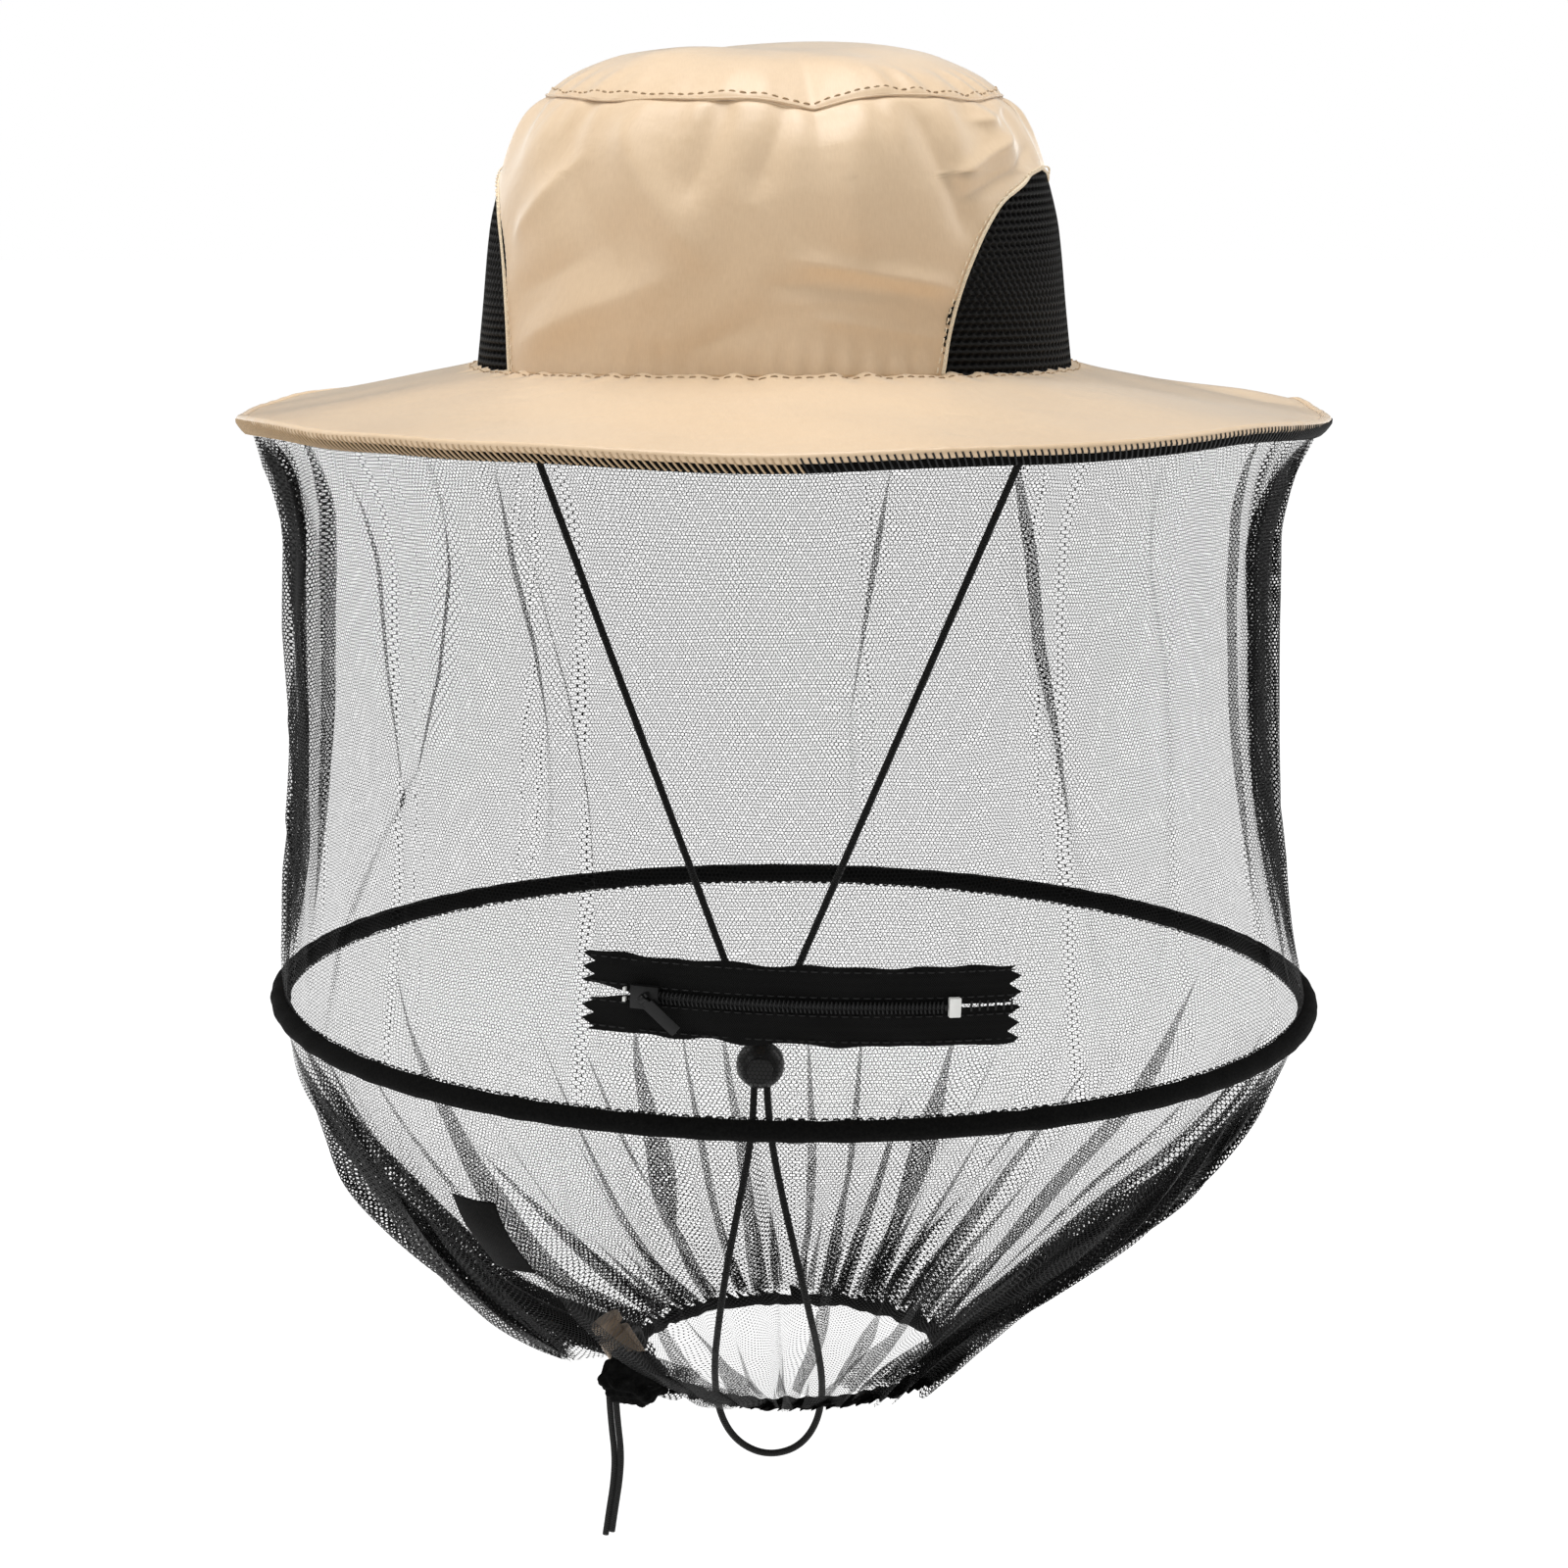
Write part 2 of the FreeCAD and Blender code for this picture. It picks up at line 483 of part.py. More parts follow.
LOCK_AT = FreeCAD.Placement(V(*TAIL[2]) + UNIT * 13.4, FreeCAD.Rotation(ACROSS, UNIT, LEAN, "ZXY"))
barrel = cut("barrel_bored", cyl("barrel_out", "barrel_rad", -10.5, 5.5), cyl("barrel_hole", "barrel_bore", -9.3, 6), hold=False)
barrel = cut("neck_lock_barrel", barrel, block("barrel_slot", -3.0, -8, -1.7, 6.0, 16, 3.4))
barrel.Placement = LOCK_AT
stem = fused("plunger_fuse", [cyl("plunger_stem", "plunger_rad", -2.6, 9.0), cyl("plunger_cap", "barrel_rad - 0.5", 8.7, 11.7)])
stem = cut("neck_lock_plunger", stem, block("plunger_window", -2.75, -8, -1.3, 5.5, 16, 5.7))
stem.Placement = LOCK_AT


def spring(label, rad, wire, low, high, turns, placement):
    """A coil spring, wound from short runs joined by tangent arcs."""
    steps = 9 * turns
    route = [(rad * math.cos(2 * math.pi * i / 9), rad * math.sin(2 * math.pi * i / 9), low + (high - low) * i / steps)
             for i in range(steps + 1)]
    coil = cord(label, route, wire)
    coil.Placement = placement
    return coil


spring("neck_lock_spring", 3.1, 0.6, -8.85, -3.05, 4, LOCK_AT)

# ---------------------------------------------------------------- ball lock on the chin cord; its button faces the front
BALL_AT = FreeCAD.Placement(V(LX, 0, LZ), FreeCAD.Rotation())
ball = doc.addObject("Part::Sphere", "ball_body")
ball.setExpression("Radius", "Sizes.lock_ball_rad")
ball_cut = cut("ball_bored", ball, cyl("ball_bore", "lock_bore_rad", -12, 6.3, "y"), hold=False)
ball_cut = cut("chin_lock_ball", ball_cut, block("ball_slot", -3.9, -1.75, -12, 7.8, 3.5, 24))
ball_cut.Placement = BALL_AT
pin_b = cut("chin_lock_button", cyl("button_pin", "lock_pin_rad", -10.2, 2.6, "y"),
            block("button_window", -3.75, -3.9, -8, 7.5, 5.4, 16))
pin_b.Placement = BALL_AT
spring("chin_lock_spring", 3.4, 0.55, -1.35, 1.35, 2,
       BALL_AT.multiply(FreeCAD.Placement(V(0, 4.45, 0), FreeCAD.Rotation(V(1, 0, 0), -90))))

# ---------------------------------------------------------------- check and write
doc.recompute()
bad = [o.Name for o in doc.Objects if set(o.State) & {"Invalid", "Error"}]
if bad:
    raise SystemExit("objects in error: %s" % bad)
os.makedirs("parts", exist_ok=True)
total = FreeCAD.BoundBox()
for obj in PARTS:
    shape = obj.Shape
    if shape.isNull() or not shape.isValid() or not shape.Solids:
        raise SystemExit("%s has no valid solid" % obj.Label)
    total.add(shape.BoundBox)
    shape.exportStep("parts/%s.step" % obj.Label)
print("parts: %d" % len(PARTS))
print("box: %s" % total)
print("lock joint: at %s slide %s lean %s" % (tuple(LOCK_AT.Base), tuple(UNIT), tuple(LEAN)))
pull_at = on_zip(S["slider_at"]).multVec(V(0, PIN_Y, 0))
pull_ax = on_zip(S["slider_at"]).Rotation.multVec(ALONG.multVec(V(0, 0, 1)))
print("pull joint: at %s axis %s" % (tuple(pull_at), tuple(-pull_ax)))
print("slider axis: %s" % (tuple(TILT.multVec(V(0, 0, 1))),))
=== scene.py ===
# A beekeeping hat with a hooped tulle veil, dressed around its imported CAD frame. Metres.
import json
import math

import bmesh
import bpy
import numpy as np
from mathutils import Matrix, Quaternion, Vector

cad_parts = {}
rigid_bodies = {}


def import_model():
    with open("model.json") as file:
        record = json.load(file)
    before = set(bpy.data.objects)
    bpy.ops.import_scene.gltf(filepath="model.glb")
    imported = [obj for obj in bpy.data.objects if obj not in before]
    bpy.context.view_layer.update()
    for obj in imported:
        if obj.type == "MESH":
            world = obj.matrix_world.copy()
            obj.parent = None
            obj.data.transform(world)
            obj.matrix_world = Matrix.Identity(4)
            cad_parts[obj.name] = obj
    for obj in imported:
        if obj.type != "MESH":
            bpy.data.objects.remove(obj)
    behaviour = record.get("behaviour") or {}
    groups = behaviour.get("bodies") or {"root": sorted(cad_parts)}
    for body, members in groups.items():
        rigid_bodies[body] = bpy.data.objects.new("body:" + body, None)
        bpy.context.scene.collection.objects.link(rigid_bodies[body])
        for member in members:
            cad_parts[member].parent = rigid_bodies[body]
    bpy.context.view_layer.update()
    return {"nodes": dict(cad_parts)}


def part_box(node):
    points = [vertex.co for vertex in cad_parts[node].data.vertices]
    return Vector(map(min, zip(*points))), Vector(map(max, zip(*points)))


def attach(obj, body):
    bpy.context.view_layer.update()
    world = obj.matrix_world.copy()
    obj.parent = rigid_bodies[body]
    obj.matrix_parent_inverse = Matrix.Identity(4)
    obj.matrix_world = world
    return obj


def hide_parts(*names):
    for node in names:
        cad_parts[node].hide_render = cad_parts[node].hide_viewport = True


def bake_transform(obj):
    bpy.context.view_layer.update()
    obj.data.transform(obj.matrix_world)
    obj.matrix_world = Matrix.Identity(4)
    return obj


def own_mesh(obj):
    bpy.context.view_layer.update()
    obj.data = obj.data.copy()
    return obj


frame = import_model()
NODES = frame["nodes"]
SCENE = bpy.context.scene
MM = 0.001

# ------------------------------------------------------------------ camera
PITCH, DIST = math.radians(11.3), 1.29
AIM = Vector((0.0033, 0.0, -0.148))
cam_data = bpy.data.cameras.new("camera")
cam_data.sensor_width = 36
cam_data.lens = 36 * 2580 / 1110
cam_data.clip_end = 50
cam = bpy.data.objects.new("camera", cam_data)
SCENE.collection.objects.link(cam)
cam.location = AIM + Vector((0, -DIST * math.cos(PITCH), DIST * math.sin(PITCH)))
cam.rotation_euler = (math.pi / 2 - PITCH, 0, 0)
SCENE.camera = cam
SCENE.view_settings.view_transform = "Standard"
SCENE.view_settings.look = "None"


# ------------------------------------------------------------------ small helpers
def smooth(t):
    t = np.clip(t, 0, 1)
    return t * t * (3 - 2 * t)


def window(x, centre, half, soft):
    """1 inside centre +- half, falling to 0 over soft."""
    return 1 - smooth((np.abs(x - centre) - half) / soft)


def bump(x, centre, width):
    return np.exp(-(((x - centre) / width) ** 2))


def waves(x, y, seed, count, kx, ky, spread=0.5):
    """A smooth seeded field of value about -1..1: count sines with wave numbers near kx and ky."""
    rng = np.random.default_rng(seed)
    out = 0
    for _ in range(count):
        a = kx * (1 + spread * rng.uniform(-1, 1))
        b = ky * (1 + spread * rng.uniform(-1, 1)) * rng.choice([-1, 1])
        out = out + np.sin(a * x + b * y + rng.uniform(0, 2 * math.pi)) * rng.uniform(0.6, 1.0)
    return out / math.sqrt(count)


def ring_waves(phi, y, seed, low, high, ky, count):
    """Like waves, but periodic round the object: whole wave numbers from low to high."""
    rng = np.random.default_rng(seed)
    out = 0
    for _ in range(count):
        n = int(rng.integers(low, high + 1))
        out = out + np.sin(n * phi + ky * y * rng.uniform(-1, 1) + rng.uniform(0, 2 * math.pi)) * rng.uniform(0.6, 1.0)
    return out / math.sqrt(count)


def link(obj):
    SCENE.collection.objects.link(obj)
    return obj


def mesh_obj(name, verts, faces, mat, uvs=None, shade=True):
    """A mesh object. uvs is one (u, v) for each vertex, or one for each face corner."""
    me = bpy.data.meshes.new(name)
    me.from_pydata([tuple(v) for v in verts], [], [tuple(f) for f in faces])
    if uvs is not None:
        layer = me.uv_layers.new(name="cloth")
        index = np.zeros(len(me.loops), np.int32)
        me.loops.foreach_get("vertex_index", index)
        uvs = np.asarray(uvs, np.float32)
        flat = uvs[index] if len(uvs) == len(me.vertices) else uvs
        layer.data.foreach_set("uv", flat.ravel())
    if shade:
        me.shade_smooth()
    me.materials.append(mat)
    me.update()
    return link(bpy.data.objects.new(name, me))


def grid(name, P, mat, uv=None, wrap=False):
    """A sheet through P[i, j]. With wrap the last column is joined to the first."""
    n, m = P.shape[:2]
    verts = P.reshape(-1, 3)
    faces = []
    for i in range(n if wrap else n - 1):
        k = (i + 1) % n
        for j in range(m - 1):
            faces.append((i * m + j, k * m + j, k * m + j + 1, i * m + j + 1))
    uvs = None
    if uv is not None:
        if wrap:
            U = uv.reshape(n, m, 2)
            corners = []
            for i in range(n):
                k = (i + 1) % n
                step = U[k, :, 0] if k else 2 * U[n - 1, :, 0] - U[n - 2, :, 0]
                for j in range(m - 1):
                    corners += [U[i, j], (step[j], U[k, j, 1]), (step[j + 1], U[k, j + 1, 1]), U[i, j + 1]]
            uvs = np.array(corners)
        else:
            uvs = uv.reshape(-1, 2)
    return mesh_obj(name, verts, faces, mat, uvs)


def thicken(obj, depth, offset=-1.0):
    m = obj.modifiers.new("thick", "SOLIDIFY")
    m.thickness = depth
    m.offset = offset
    m.use_even_offset = False
    return obj


def frames_along(path, closed=False):
    """Tangent and two normals at each point of a path, carried along without twist."""
    path = np.asarray(path, float)
    if closed:
        d = np.roll(path, -1, 0) - np.roll(path, 1, 0)
    else:
        d = np.gradient(path, axis=0)
    t = d / np.linalg.norm(d, axis=1)[:, None]
    ref = np.array([0, 0, 1.0]) if abs(t[0][2]) < 0.9 else np.array([1.0, 0, 0])
    n = np.zeros_like(t)
    n[0] = np.cross(t[0], ref)
    n[0] /= np.linalg.norm(n[0])
    for i in range(1, len(t)):
        v = n[i - 1] - t[i] * np.dot(n[i - 1], t[i])
        n[i] = v / np.linalg.norm(v)
    return t, n, np.cross(t, n)


def tube(name, path, radius, mat, sides=12, closed=False, caps=True, radii=None, squash=(1, 1)):
    """A round tube along path, with a (length, turn) map in metres."""
    path = np.asarray(path, float)
    t, n, b = frames_along(path, closed)
    ang = np.linspace(0, 2 * math.pi, sides, endpoint=False)
    rr = np.full(len(path), radius) if radii is None else np.asarray(radii, float)
    ring = (n[:, None, :] * np.cos(ang)[None, :, None] * squash[0] + b[:, None, :] * np.sin(ang)[None, :, None] * squash[1])
    verts = (path[:, None, :] + ring * rr[:, None, None]).reshape(-1, 3)
    run = np.concatenate([[0], np.cumsum(np.linalg.norm(np.diff(path, axis=0), axis=1))])
    total = run[-1] + (np.linalg.norm(path[0] - path[-1]) if closed else 0)
    faces, uvs, count = [], [], len(path)
    around = 2 * math.pi * radius
    for i in range(count if closed else count - 1):
        k = (i + 1) % count
        u0, u1 = run[i], (run[k] if k else total)
        for j in range(sides):
            q = (j + 1) % sides
            faces.append((i * sides + j, i * sides + q, k * sides + q, k * sides + j))
            v0, v1 = around * j / sides, around * (j + 1) / sides
            uvs += [(u0, v0), (u0, v1), (u1, v1), (u1, v0)]
    if caps and not closed:
        verts = np.vstack([verts, path[0] - t[0] * rr[0] * 0.35, path[-1] + t[-1] * rr[-1] * 0.35])
        a, z = len(verts) - 2, len(verts) - 1
        for j in range(sides):
            q = (j + 1) % sides
            faces.append((a, q, j))
            uvs += [(0, 0)] * 3
            faces.append((z, (count - 1) * sides + j, (count - 1) * sides + q))
            uvs += [(total, 0)] * 3
    return mesh_obj(name, verts, faces, mat, uvs)


def join(name, objs):
    """One object from several meshes."""
    for o in bpy.data.objects:
        o.select_set(False)
    for o in objs:
        o.select_set(True)
    bpy.context.view_layer.objects.active = objs[0]
    bpy.ops.object.join()
    objs[0].name = name
    return objs[0]


def stitch_row(name, path, mat, length=2.4 * MM, gap=1.5 * MM, radius=0.28 * MM, normals=None, sink=0.3, closed=True, slant=0.0):
    """A row of sewn stitches along a path: short rounded threads that dip in at both ends."""
    path = np.asarray(path, float)
    if closed:
        path = np.vstack([path, path[:1]])
        if normals is not None:
            normals = np.vstack([normals, normals[:1]])
    seg = np.linalg.norm(np.diff(path, axis=0), axis=1)
    run = np.concatenate([[0], np.cumsum(seg)])
    count = max(1, int(run[-1] / (length + gap)))
    pitch = run[-1] / count
    shape = np.array([-0.5, -0.36, -0.12, 0.12, 0.36, 0.5])
    dip = np.array([-1.3, -0.2, 0.25, 0.25, -0.2, -1.3])
    verts, faces = [], []
    ang = np.linspace(0, 2 * math.pi, 6, endpoint=False)
    for c in range(count):
        at = (c + 0.5) * pitch
        ends = []
        for k in range(6):
            x = np.clip(at + shape[k] * length, 0, run[-1])
            p = np.array([np.interp(x, run, path[:, a]) for a in range(3)])
            w = np.array([np.interp(x, run, normals[:, a]) for a in range(3)]) if normals is not None else np.array([0, 0, 1.0])
            w /= np.linalg.norm(w)
            ends.append((p, w))
        t = ends[5][0] - ends[0][0]
        t /= np.linalg.norm(t)
        for k in range(6):
            p, w = ends[k]
            side = np.cross(t, w)
            side /= np.linalg.norm(side)
            centre = p + w * radius * (dip[k] + 1 - sink) + side * slant * shape[k]
            r = radius * (0.75 if k in (0, 5) else 1.0)
            base = len(verts)
            for a in ang:
                verts.append(centre + (side * math.cos(a) + w * math.sin(a)) * r)
            if k:
                for j in range(6):
                    q = (j + 1) % 6
                    faces.append((base - 6 + j, base - 6 + q, base + q, base + j))
    return mesh_obj(name, verts, faces, mat)


def bevelled(node, mat, body, width=0.25 * MM, segments=3, name=None):
    """The CAD node's own shape with rounded edges, standing for the node."""
    src = NODES[node]
    me = src.data.copy()
    me.name = name or node + "_finished"
    bm = bmesh.new()
    bm.from_mesh(me)
    bmesh.ops.remove_doubles(bm, verts=bm.verts, dist=1e-6)
    bmesh.ops.dissolve_limit(bm, angle_limit=math.radians(3), verts=bm.verts, edges=bm.edges)
    bm.to_mesh(me)
    bm.free()
    me.materials.clear()
    me.materials.append(mat)
    for p in me.polygons:
        p.material_index = 0
    me.shade_smooth()
    o = link(bpy.data.objects.new(me.name, me))
    m = o.modifiers.new("round", "BEVEL")
    m.width = width
    m.segments = segments
    m.limit_method = "ANGLE"
    m.angle_limit = math.radians(35)
    m.harden_normals = True
    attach(o, body)
    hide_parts(node)
    return o


# ------------------------------------------------------------------ materials
class Nodes:
    """Short calls for building a node tree."""

    def __init__(self, name, color, rough, spec=0.5):
        self.mat = bpy.data.materials.new(name)
        self.mat.use_nodes = True
        self.tree = self.mat.node_tree
        self.bsdf = self.tree.nodes["Principled BSDF"]
        self.bsdf.inputs["Base Color"].default_value = (*color, 1)
        self.bsdf.inputs["Roughness"].default_value = rough
        self.bsdf.inputs["Specular IOR Level"].default_value = spec

    def node(self, kind, **values):
        n = self.tree.nodes.new(kind)
        for key, value in values.items():
            setattr(n, key, value)
        return n

    def wire(self, a, b):
        self.tree.links.new(a, b)

    def math(self, op, a, b=None, c=None, clamp=False):
        n = self.node("ShaderNodeMath", operation=op, use_clamp=clamp)
        for i, x in enumerate((a, b, c)):
            if x is None:
                continue
            if isinstance(x, (int, float)):
                n.inputs[i].default_value = x
            else:
                self.wire(x, n.inputs[i])
        return n.outputs[0]

    def uv(self):
        n = self.node("ShaderNodeUVMap", uv_map="cloth")
        s = self.node("ShaderNodeSeparateXYZ")
        self.wire(n.outputs[0], s.inputs[0])
        return s.outputs[0], s.outputs[1], n.outputs[0]

    def place(self):
        n = self.node("ShaderNodeTexCoord")
        return n.outputs["Object"]

    def noise(self, scale, detail=3.0, rough=0.5, vector=None, distortion=0.0):
        n = self.node("ShaderNodeTexNoise")
        n.inputs["Scale"].default_value = scale
        n.inputs["Detail"].default_value = detail
        n.inputs["Roughness"].default_value = rough
        n.inputs["Distortion"].default_value = distortion
        self.wire(vector if vector is not None else self.place(), n.inputs["Vector"])
        return n.outputs[0]

    def ramp(self, fac, stops):
        n = self.node("ShaderNodeValToRGB")
        e = n.color_ramp.elements
        while len(e) < len(stops):
            e.new(0.5)
        for i, (at, col) in enumerate(stops):
            e[i].position = at
            e[i].color = (*col, 1) if len(col) == 3 else col
        self.wire(fac, n.inputs[0])
        return n.outputs[0]

    def mix(self, fac, a, b, blend="MIX"):
        n = self.node("ShaderNodeMix", data_type="RGBA", blend_type=blend)
        for socket, x in ((n.inputs[0], fac), (n.inputs[6], a), (n.inputs[7], b)):
            if isinstance(x, (int, float)):
                socket.default_value = x
            elif isinstance(x, tuple):
                socket.default_value = (*x, 1)
            else:
                self.wire(x, socket)
        return n.outputs[2]

    def color(self, socket):
        self.wire(socket, self.bsdf.inputs["Base Color"])

    def bump(self, height, distance, strength=1.0, under=None):
        n = self.node("ShaderNodeBump")
        n.inputs["Strength"].default_value = strength
        n.inputs["Distance"].default_value = distance
        self.wire(height, n.inputs["Height"])
        if under is not None:
            self.wire(under, n.inputs["Normal"])
        self.wire(n.outputs[0], self.bsdf.inputs["Normal"])
        return n.outputs[0]

    def set(self, **values):
        for key, value in values.items():
            self.bsdf.inputs[key.replace("_", " ")].default_value = value
        return self


def weave(m, u, v, pitch):
    """Height of a plain weave of that pitch in metres, 0..1."""
    k = 2 * math.pi / pitch
    a = m.math("SINE", m.math("MULTIPLY", u, k / 2))
    b = m.math("SINE", m.math("MULTIPLY", v, k / 2))
    warp = m.math("ABSOLUTE", m.math("SINE", m.math("MULTIPLY", u, k)))
    weft = m.math("ABSOLUTE", m.math("SINE", m.math("MULTIPLY", v, k)))
    over = m.math("GREATER_THAN", m.math("MULTIPLY", a, b), 0)
    return m.math("ADD", m.math("MULTIPLY", over, warp), m.math("MULTIPLY", m.math("SUBTRACT", 1, over), weft))


def tan_cloth():
    m = Nodes("tan_cloth", (0.70, 0.53, 0.36), 0.42, 0.5)
    u, v, both = m.uv()
    broad = m.noise(9, 2, 0.5)
    fine = m.noise(420, 4, 0.65)
    slub = m.node("ShaderNodeTexNoise")
    slub.inputs["Scale"].default_value = 1.0
    slub.inputs["Detail"].default_value = 3
    mp = m.node("ShaderNodeMapping")
    mp.inputs["Scale"].default_value = (3200, 260, 1)
    m.wire(both, mp.inputs["Vector"])
    m.wire(mp.outputs[0], slub.inputs["Vector"])
    base = m.ramp(broad, [(0.30, (0.655, 0.476, 0.300)), (0.52, (0.70, 0.52, 0.338)), (0.75, (0.745, 0.565, 0.38))])
    base = m.mix(0.10, base, m.ramp(fine, [(0.3, (0.60, 0.42, 0.25)), (0.7, (0.90, 0.72, 0.50))]))
    base = m.mix(0.08, base, m.ramp(slub.outputs[0], [(0.35, (0.55, 0.39, 0.23)), (0.65, (0.95, 0.77, 0.55))]))
    m.color(base)
    h = weave(m, u, v, 0.42 * MM)
    h = m.math("ADD", m.math("MULTIPLY", h, 0.35), m.math("MULTIPLY", slub.outputs[0], 0.9))
    soft = m.node("ShaderNodeBump")
    soft.inputs["Strength"].default_value = 0.35
    soft.inputs["Distance"].default_value = 0.9 * MM
    m.wire(m.noise(70, 3, 0.55, distortion=0.6), soft.inputs["Height"])
    m.bump(h, 0.05 * MM, 0.5, soft.outputs[0])
    m.wire(m.ramp(fine, [(0.3, (0.40,) * 3), (0.7, (0.52,) * 3)]), m.bsdf.inputs["Roughness"])
    m.set(Sheen_Weight=1.0, Sheen_Roughness=0.30, Sheen_Tint=(1.0, 0.97, 0.92, 1))
    return m.mat


def black_cloth(name="black_cloth", pitch=0.5, tone=0.0045, rough=0.75, spec=0.08, sheen=0.0):
    m = Nodes(name, (tone,) * 3, rough, spec)
    u, v, both = m.uv()
    fleck = m.noise(900, 3, 0.7)
    m.color(m.ramp(fleck, [(0.35, (tone * 0.6,) * 3), (0.62, (tone * 1.5, tone * 1.5, tone * 1.4)), (0.8, (tone * 2.6,) * 3)]))
    m.bump(weave(m, u, v, pitch * MM), 0.12 * MM, 0.8)
    m.set(Sheen_Weight=sheen, Sheen_Roughness=0.5)
    return m.mat


def tulle(name="tulle", wide=0.128, tight=0.30):
    """Hexagonal net: black threads round open cells, by a pattern in the cloth's own metres.
    Where the cloth is drawn together, which its second map says, its threads take up more of each cell."""
    m = Nodes(name, (0.004, 0.004, 0.004), 0.55, 0.10)
    pitch = 1.35 * MM
    uvn = m.node("ShaderNodeUVMap", uv_map="cloth")
    wob = m.node("ShaderNodeTexNoise")
    wob.inputs["Scale"].default_value = 24.0
    wob.inputs["Detail"].default_value = 2.0
    m.wire(uvn.outputs[0], wob.inputs["Vector"])
    off = m.node("ShaderNodeVectorMath", operation="MULTIPLY_ADD")
    m.wire(wob.outputs["Color"], off.inputs[0])
    off.inputs[1].default_value = (0.0045, 0.0045, 0)
    m.wire(uvn.outputs[0], off.inputs[2])
    p = m.node("ShaderNodeVectorMath", operation="MULTIPLY")
    m.wire(off.outputs[0], p.inputs[0])
    p.inputs[1].default_value = (1 / pitch, 1 / pitch, 0)
    shift = m.node("ShaderNodeVectorMath", operation="ADD")
    m.wire(p.outputs[0], shift.inputs[0])
    shift.inputs[1].default_value = (1000.0, 1000 * math.sqrt(3), 0)
    cell = (1.0, math.sqrt(3), 1.0)
    half = (0.5, math.sqrt(3) / 2, 0.0)

    def local(vector):
        q = m.node("ShaderNodeVectorMath", operation="MODULO")
        m.wire(vector, q.inputs[0])
        q.inputs[1].default_value = cell
        r = m.node("ShaderNodeVectorMath", operation="SUBTRACT")
        m.wire(q.outputs[0], r.inputs[0])
        r.inputs[1].default_value = half
        ln = m.node("ShaderNodeVectorMath", operation="LENGTH")
        m.wire(r.outputs[0], ln.inputs[0])
        return r.outputs[0], ln.outputs["Value"]

    other = m.node("ShaderNodeVectorMath", operation="SUBTRACT")
    m.wire(shift.outputs[0], other.inputs[0])
    other.inputs[1].default_value = half
    a, la = local(shift.outputs[0])
    b, lb = local(other.outputs[0])
    pick = m.node("ShaderNodeMix", data_type="VECTOR")
    m.wire(m.math("LESS_THAN", lb, la), pick.inputs[0])
    m.wire(a, pick.inputs[4])
    m.wire(b, pick.inputs[5])
    ab = m.node("ShaderNodeVectorMath", operation="ABSOLUTE")
    m.wire(pick.outputs[1], ab.inputs[0])
    sp = m.node("ShaderNodeSeparateXYZ")
    m.wire(ab.outputs[0], sp.inputs[0])
    slope = m.math("ADD", m.math("MULTIPLY", sp.outputs[0], 0.5), m.math("MULTIPLY", sp.outputs[1], math.sqrt(3) / 2))
    edge = m.math("MAXIMUM", sp.outputs[0], slope)
    drawn = m.node("ShaderNodeUVMap", uv_map="drawn")
    run = m.node("ShaderNodeSeparateXYZ")
    m.wire(drawn.outputs[0], run.inputs[0])
    limit = m.math("MULTIPLY_ADD", run.outputs[0], -tight / 2, 0.5 - wide / 2)
    thread = m.math("GREATER_THAN", edge, limit)
    m.wire(thread, m.bsdf.inputs["Alpha"])
    return m.mat


def spacer_mesh():
    """Knitted spacer mesh: rows of small oval holes in a black knit, with painted shade darkening the holes."""
    m = Nodes("spacer_mesh", (0.004, 0.004, 0.004), 0.6, 0.08)
    u, v, both = m.uv()
    pu, pv = 3.4 * MM, 2.6 * MM
    row = m.math("FLOOR", m.math("DIVIDE", v, pv))
    shift = m.math("MULTIPLY", m.math("MODULO", m.math("ADD", row, 1000), 2), 0.5)
    fu = m.math("SUBTRACT", m.math("FRACT", m.math("ADD", m.math("DIVIDE", u, pu), shift)), 0.5)
    fv = m.math("SUBTRACT", m.math("FRACT", m.math("DIVIDE", v, pv)), 0.5)
    d = m.math("SQRT", m.math("ADD", m.math("POWER", m.math("MULTIPLY", fu, 2.1), 2), m.math("POWER", m.math("MULTIPLY", fv, 2.7), 2)))
    hole = m.math("SMOOTH_MIN", d, 1.0, 0.2)
    # the colour ramp paints shade into the holes: darkest at their centres, lighter on the knit between them
    m.color(m.ramp(hole, [(0.45, (0.001,) * 3), (0.80, (0.004,) * 3), (0.98, (0.010, 0.010, 0.0095))]))
    m.bump(hole, 0.7 * MM, 0.9)
    m.set(Sheen_Weight=0.0)
    return m.mat


def braided(name, tone, dia):
    m = Nodes(name, (tone,) * 3, 0.6, 0.2)
    u, v, both = m.uv()
    k = 2 * math.pi / (0.9 * MM)
    turn = 2 * math.pi / (math.pi * dia) * 4
    a = m.math("SINE", m.math("ADD", m.math("MULTIPLY", u, k), m.math("MULTIPLY", v, turn)))
    b = m.math("SINE", m.math("SUBTRACT", m.math("MULTIPLY", u, k), m.math("MULTIPLY", v, turn)))
    h = m.math("MAXIMUM", a, b)
    # the colour follows the braid's relief: painted shade in the grooves between strands, painted highlight on the
    # strand crests
    m.color(m.ramp(m.math("MULTIPLY_ADD", h, 0.5, 0.5), [(0.2, (tone * 0.4,) * 3), (0.9, (tone * 1.8, tone * 1.8, tone * 1.7))]))
    m.bump(h, 0.22 * MM, 0.9)
    m.set(Sheen_Weight=0.08)
    return m.mat


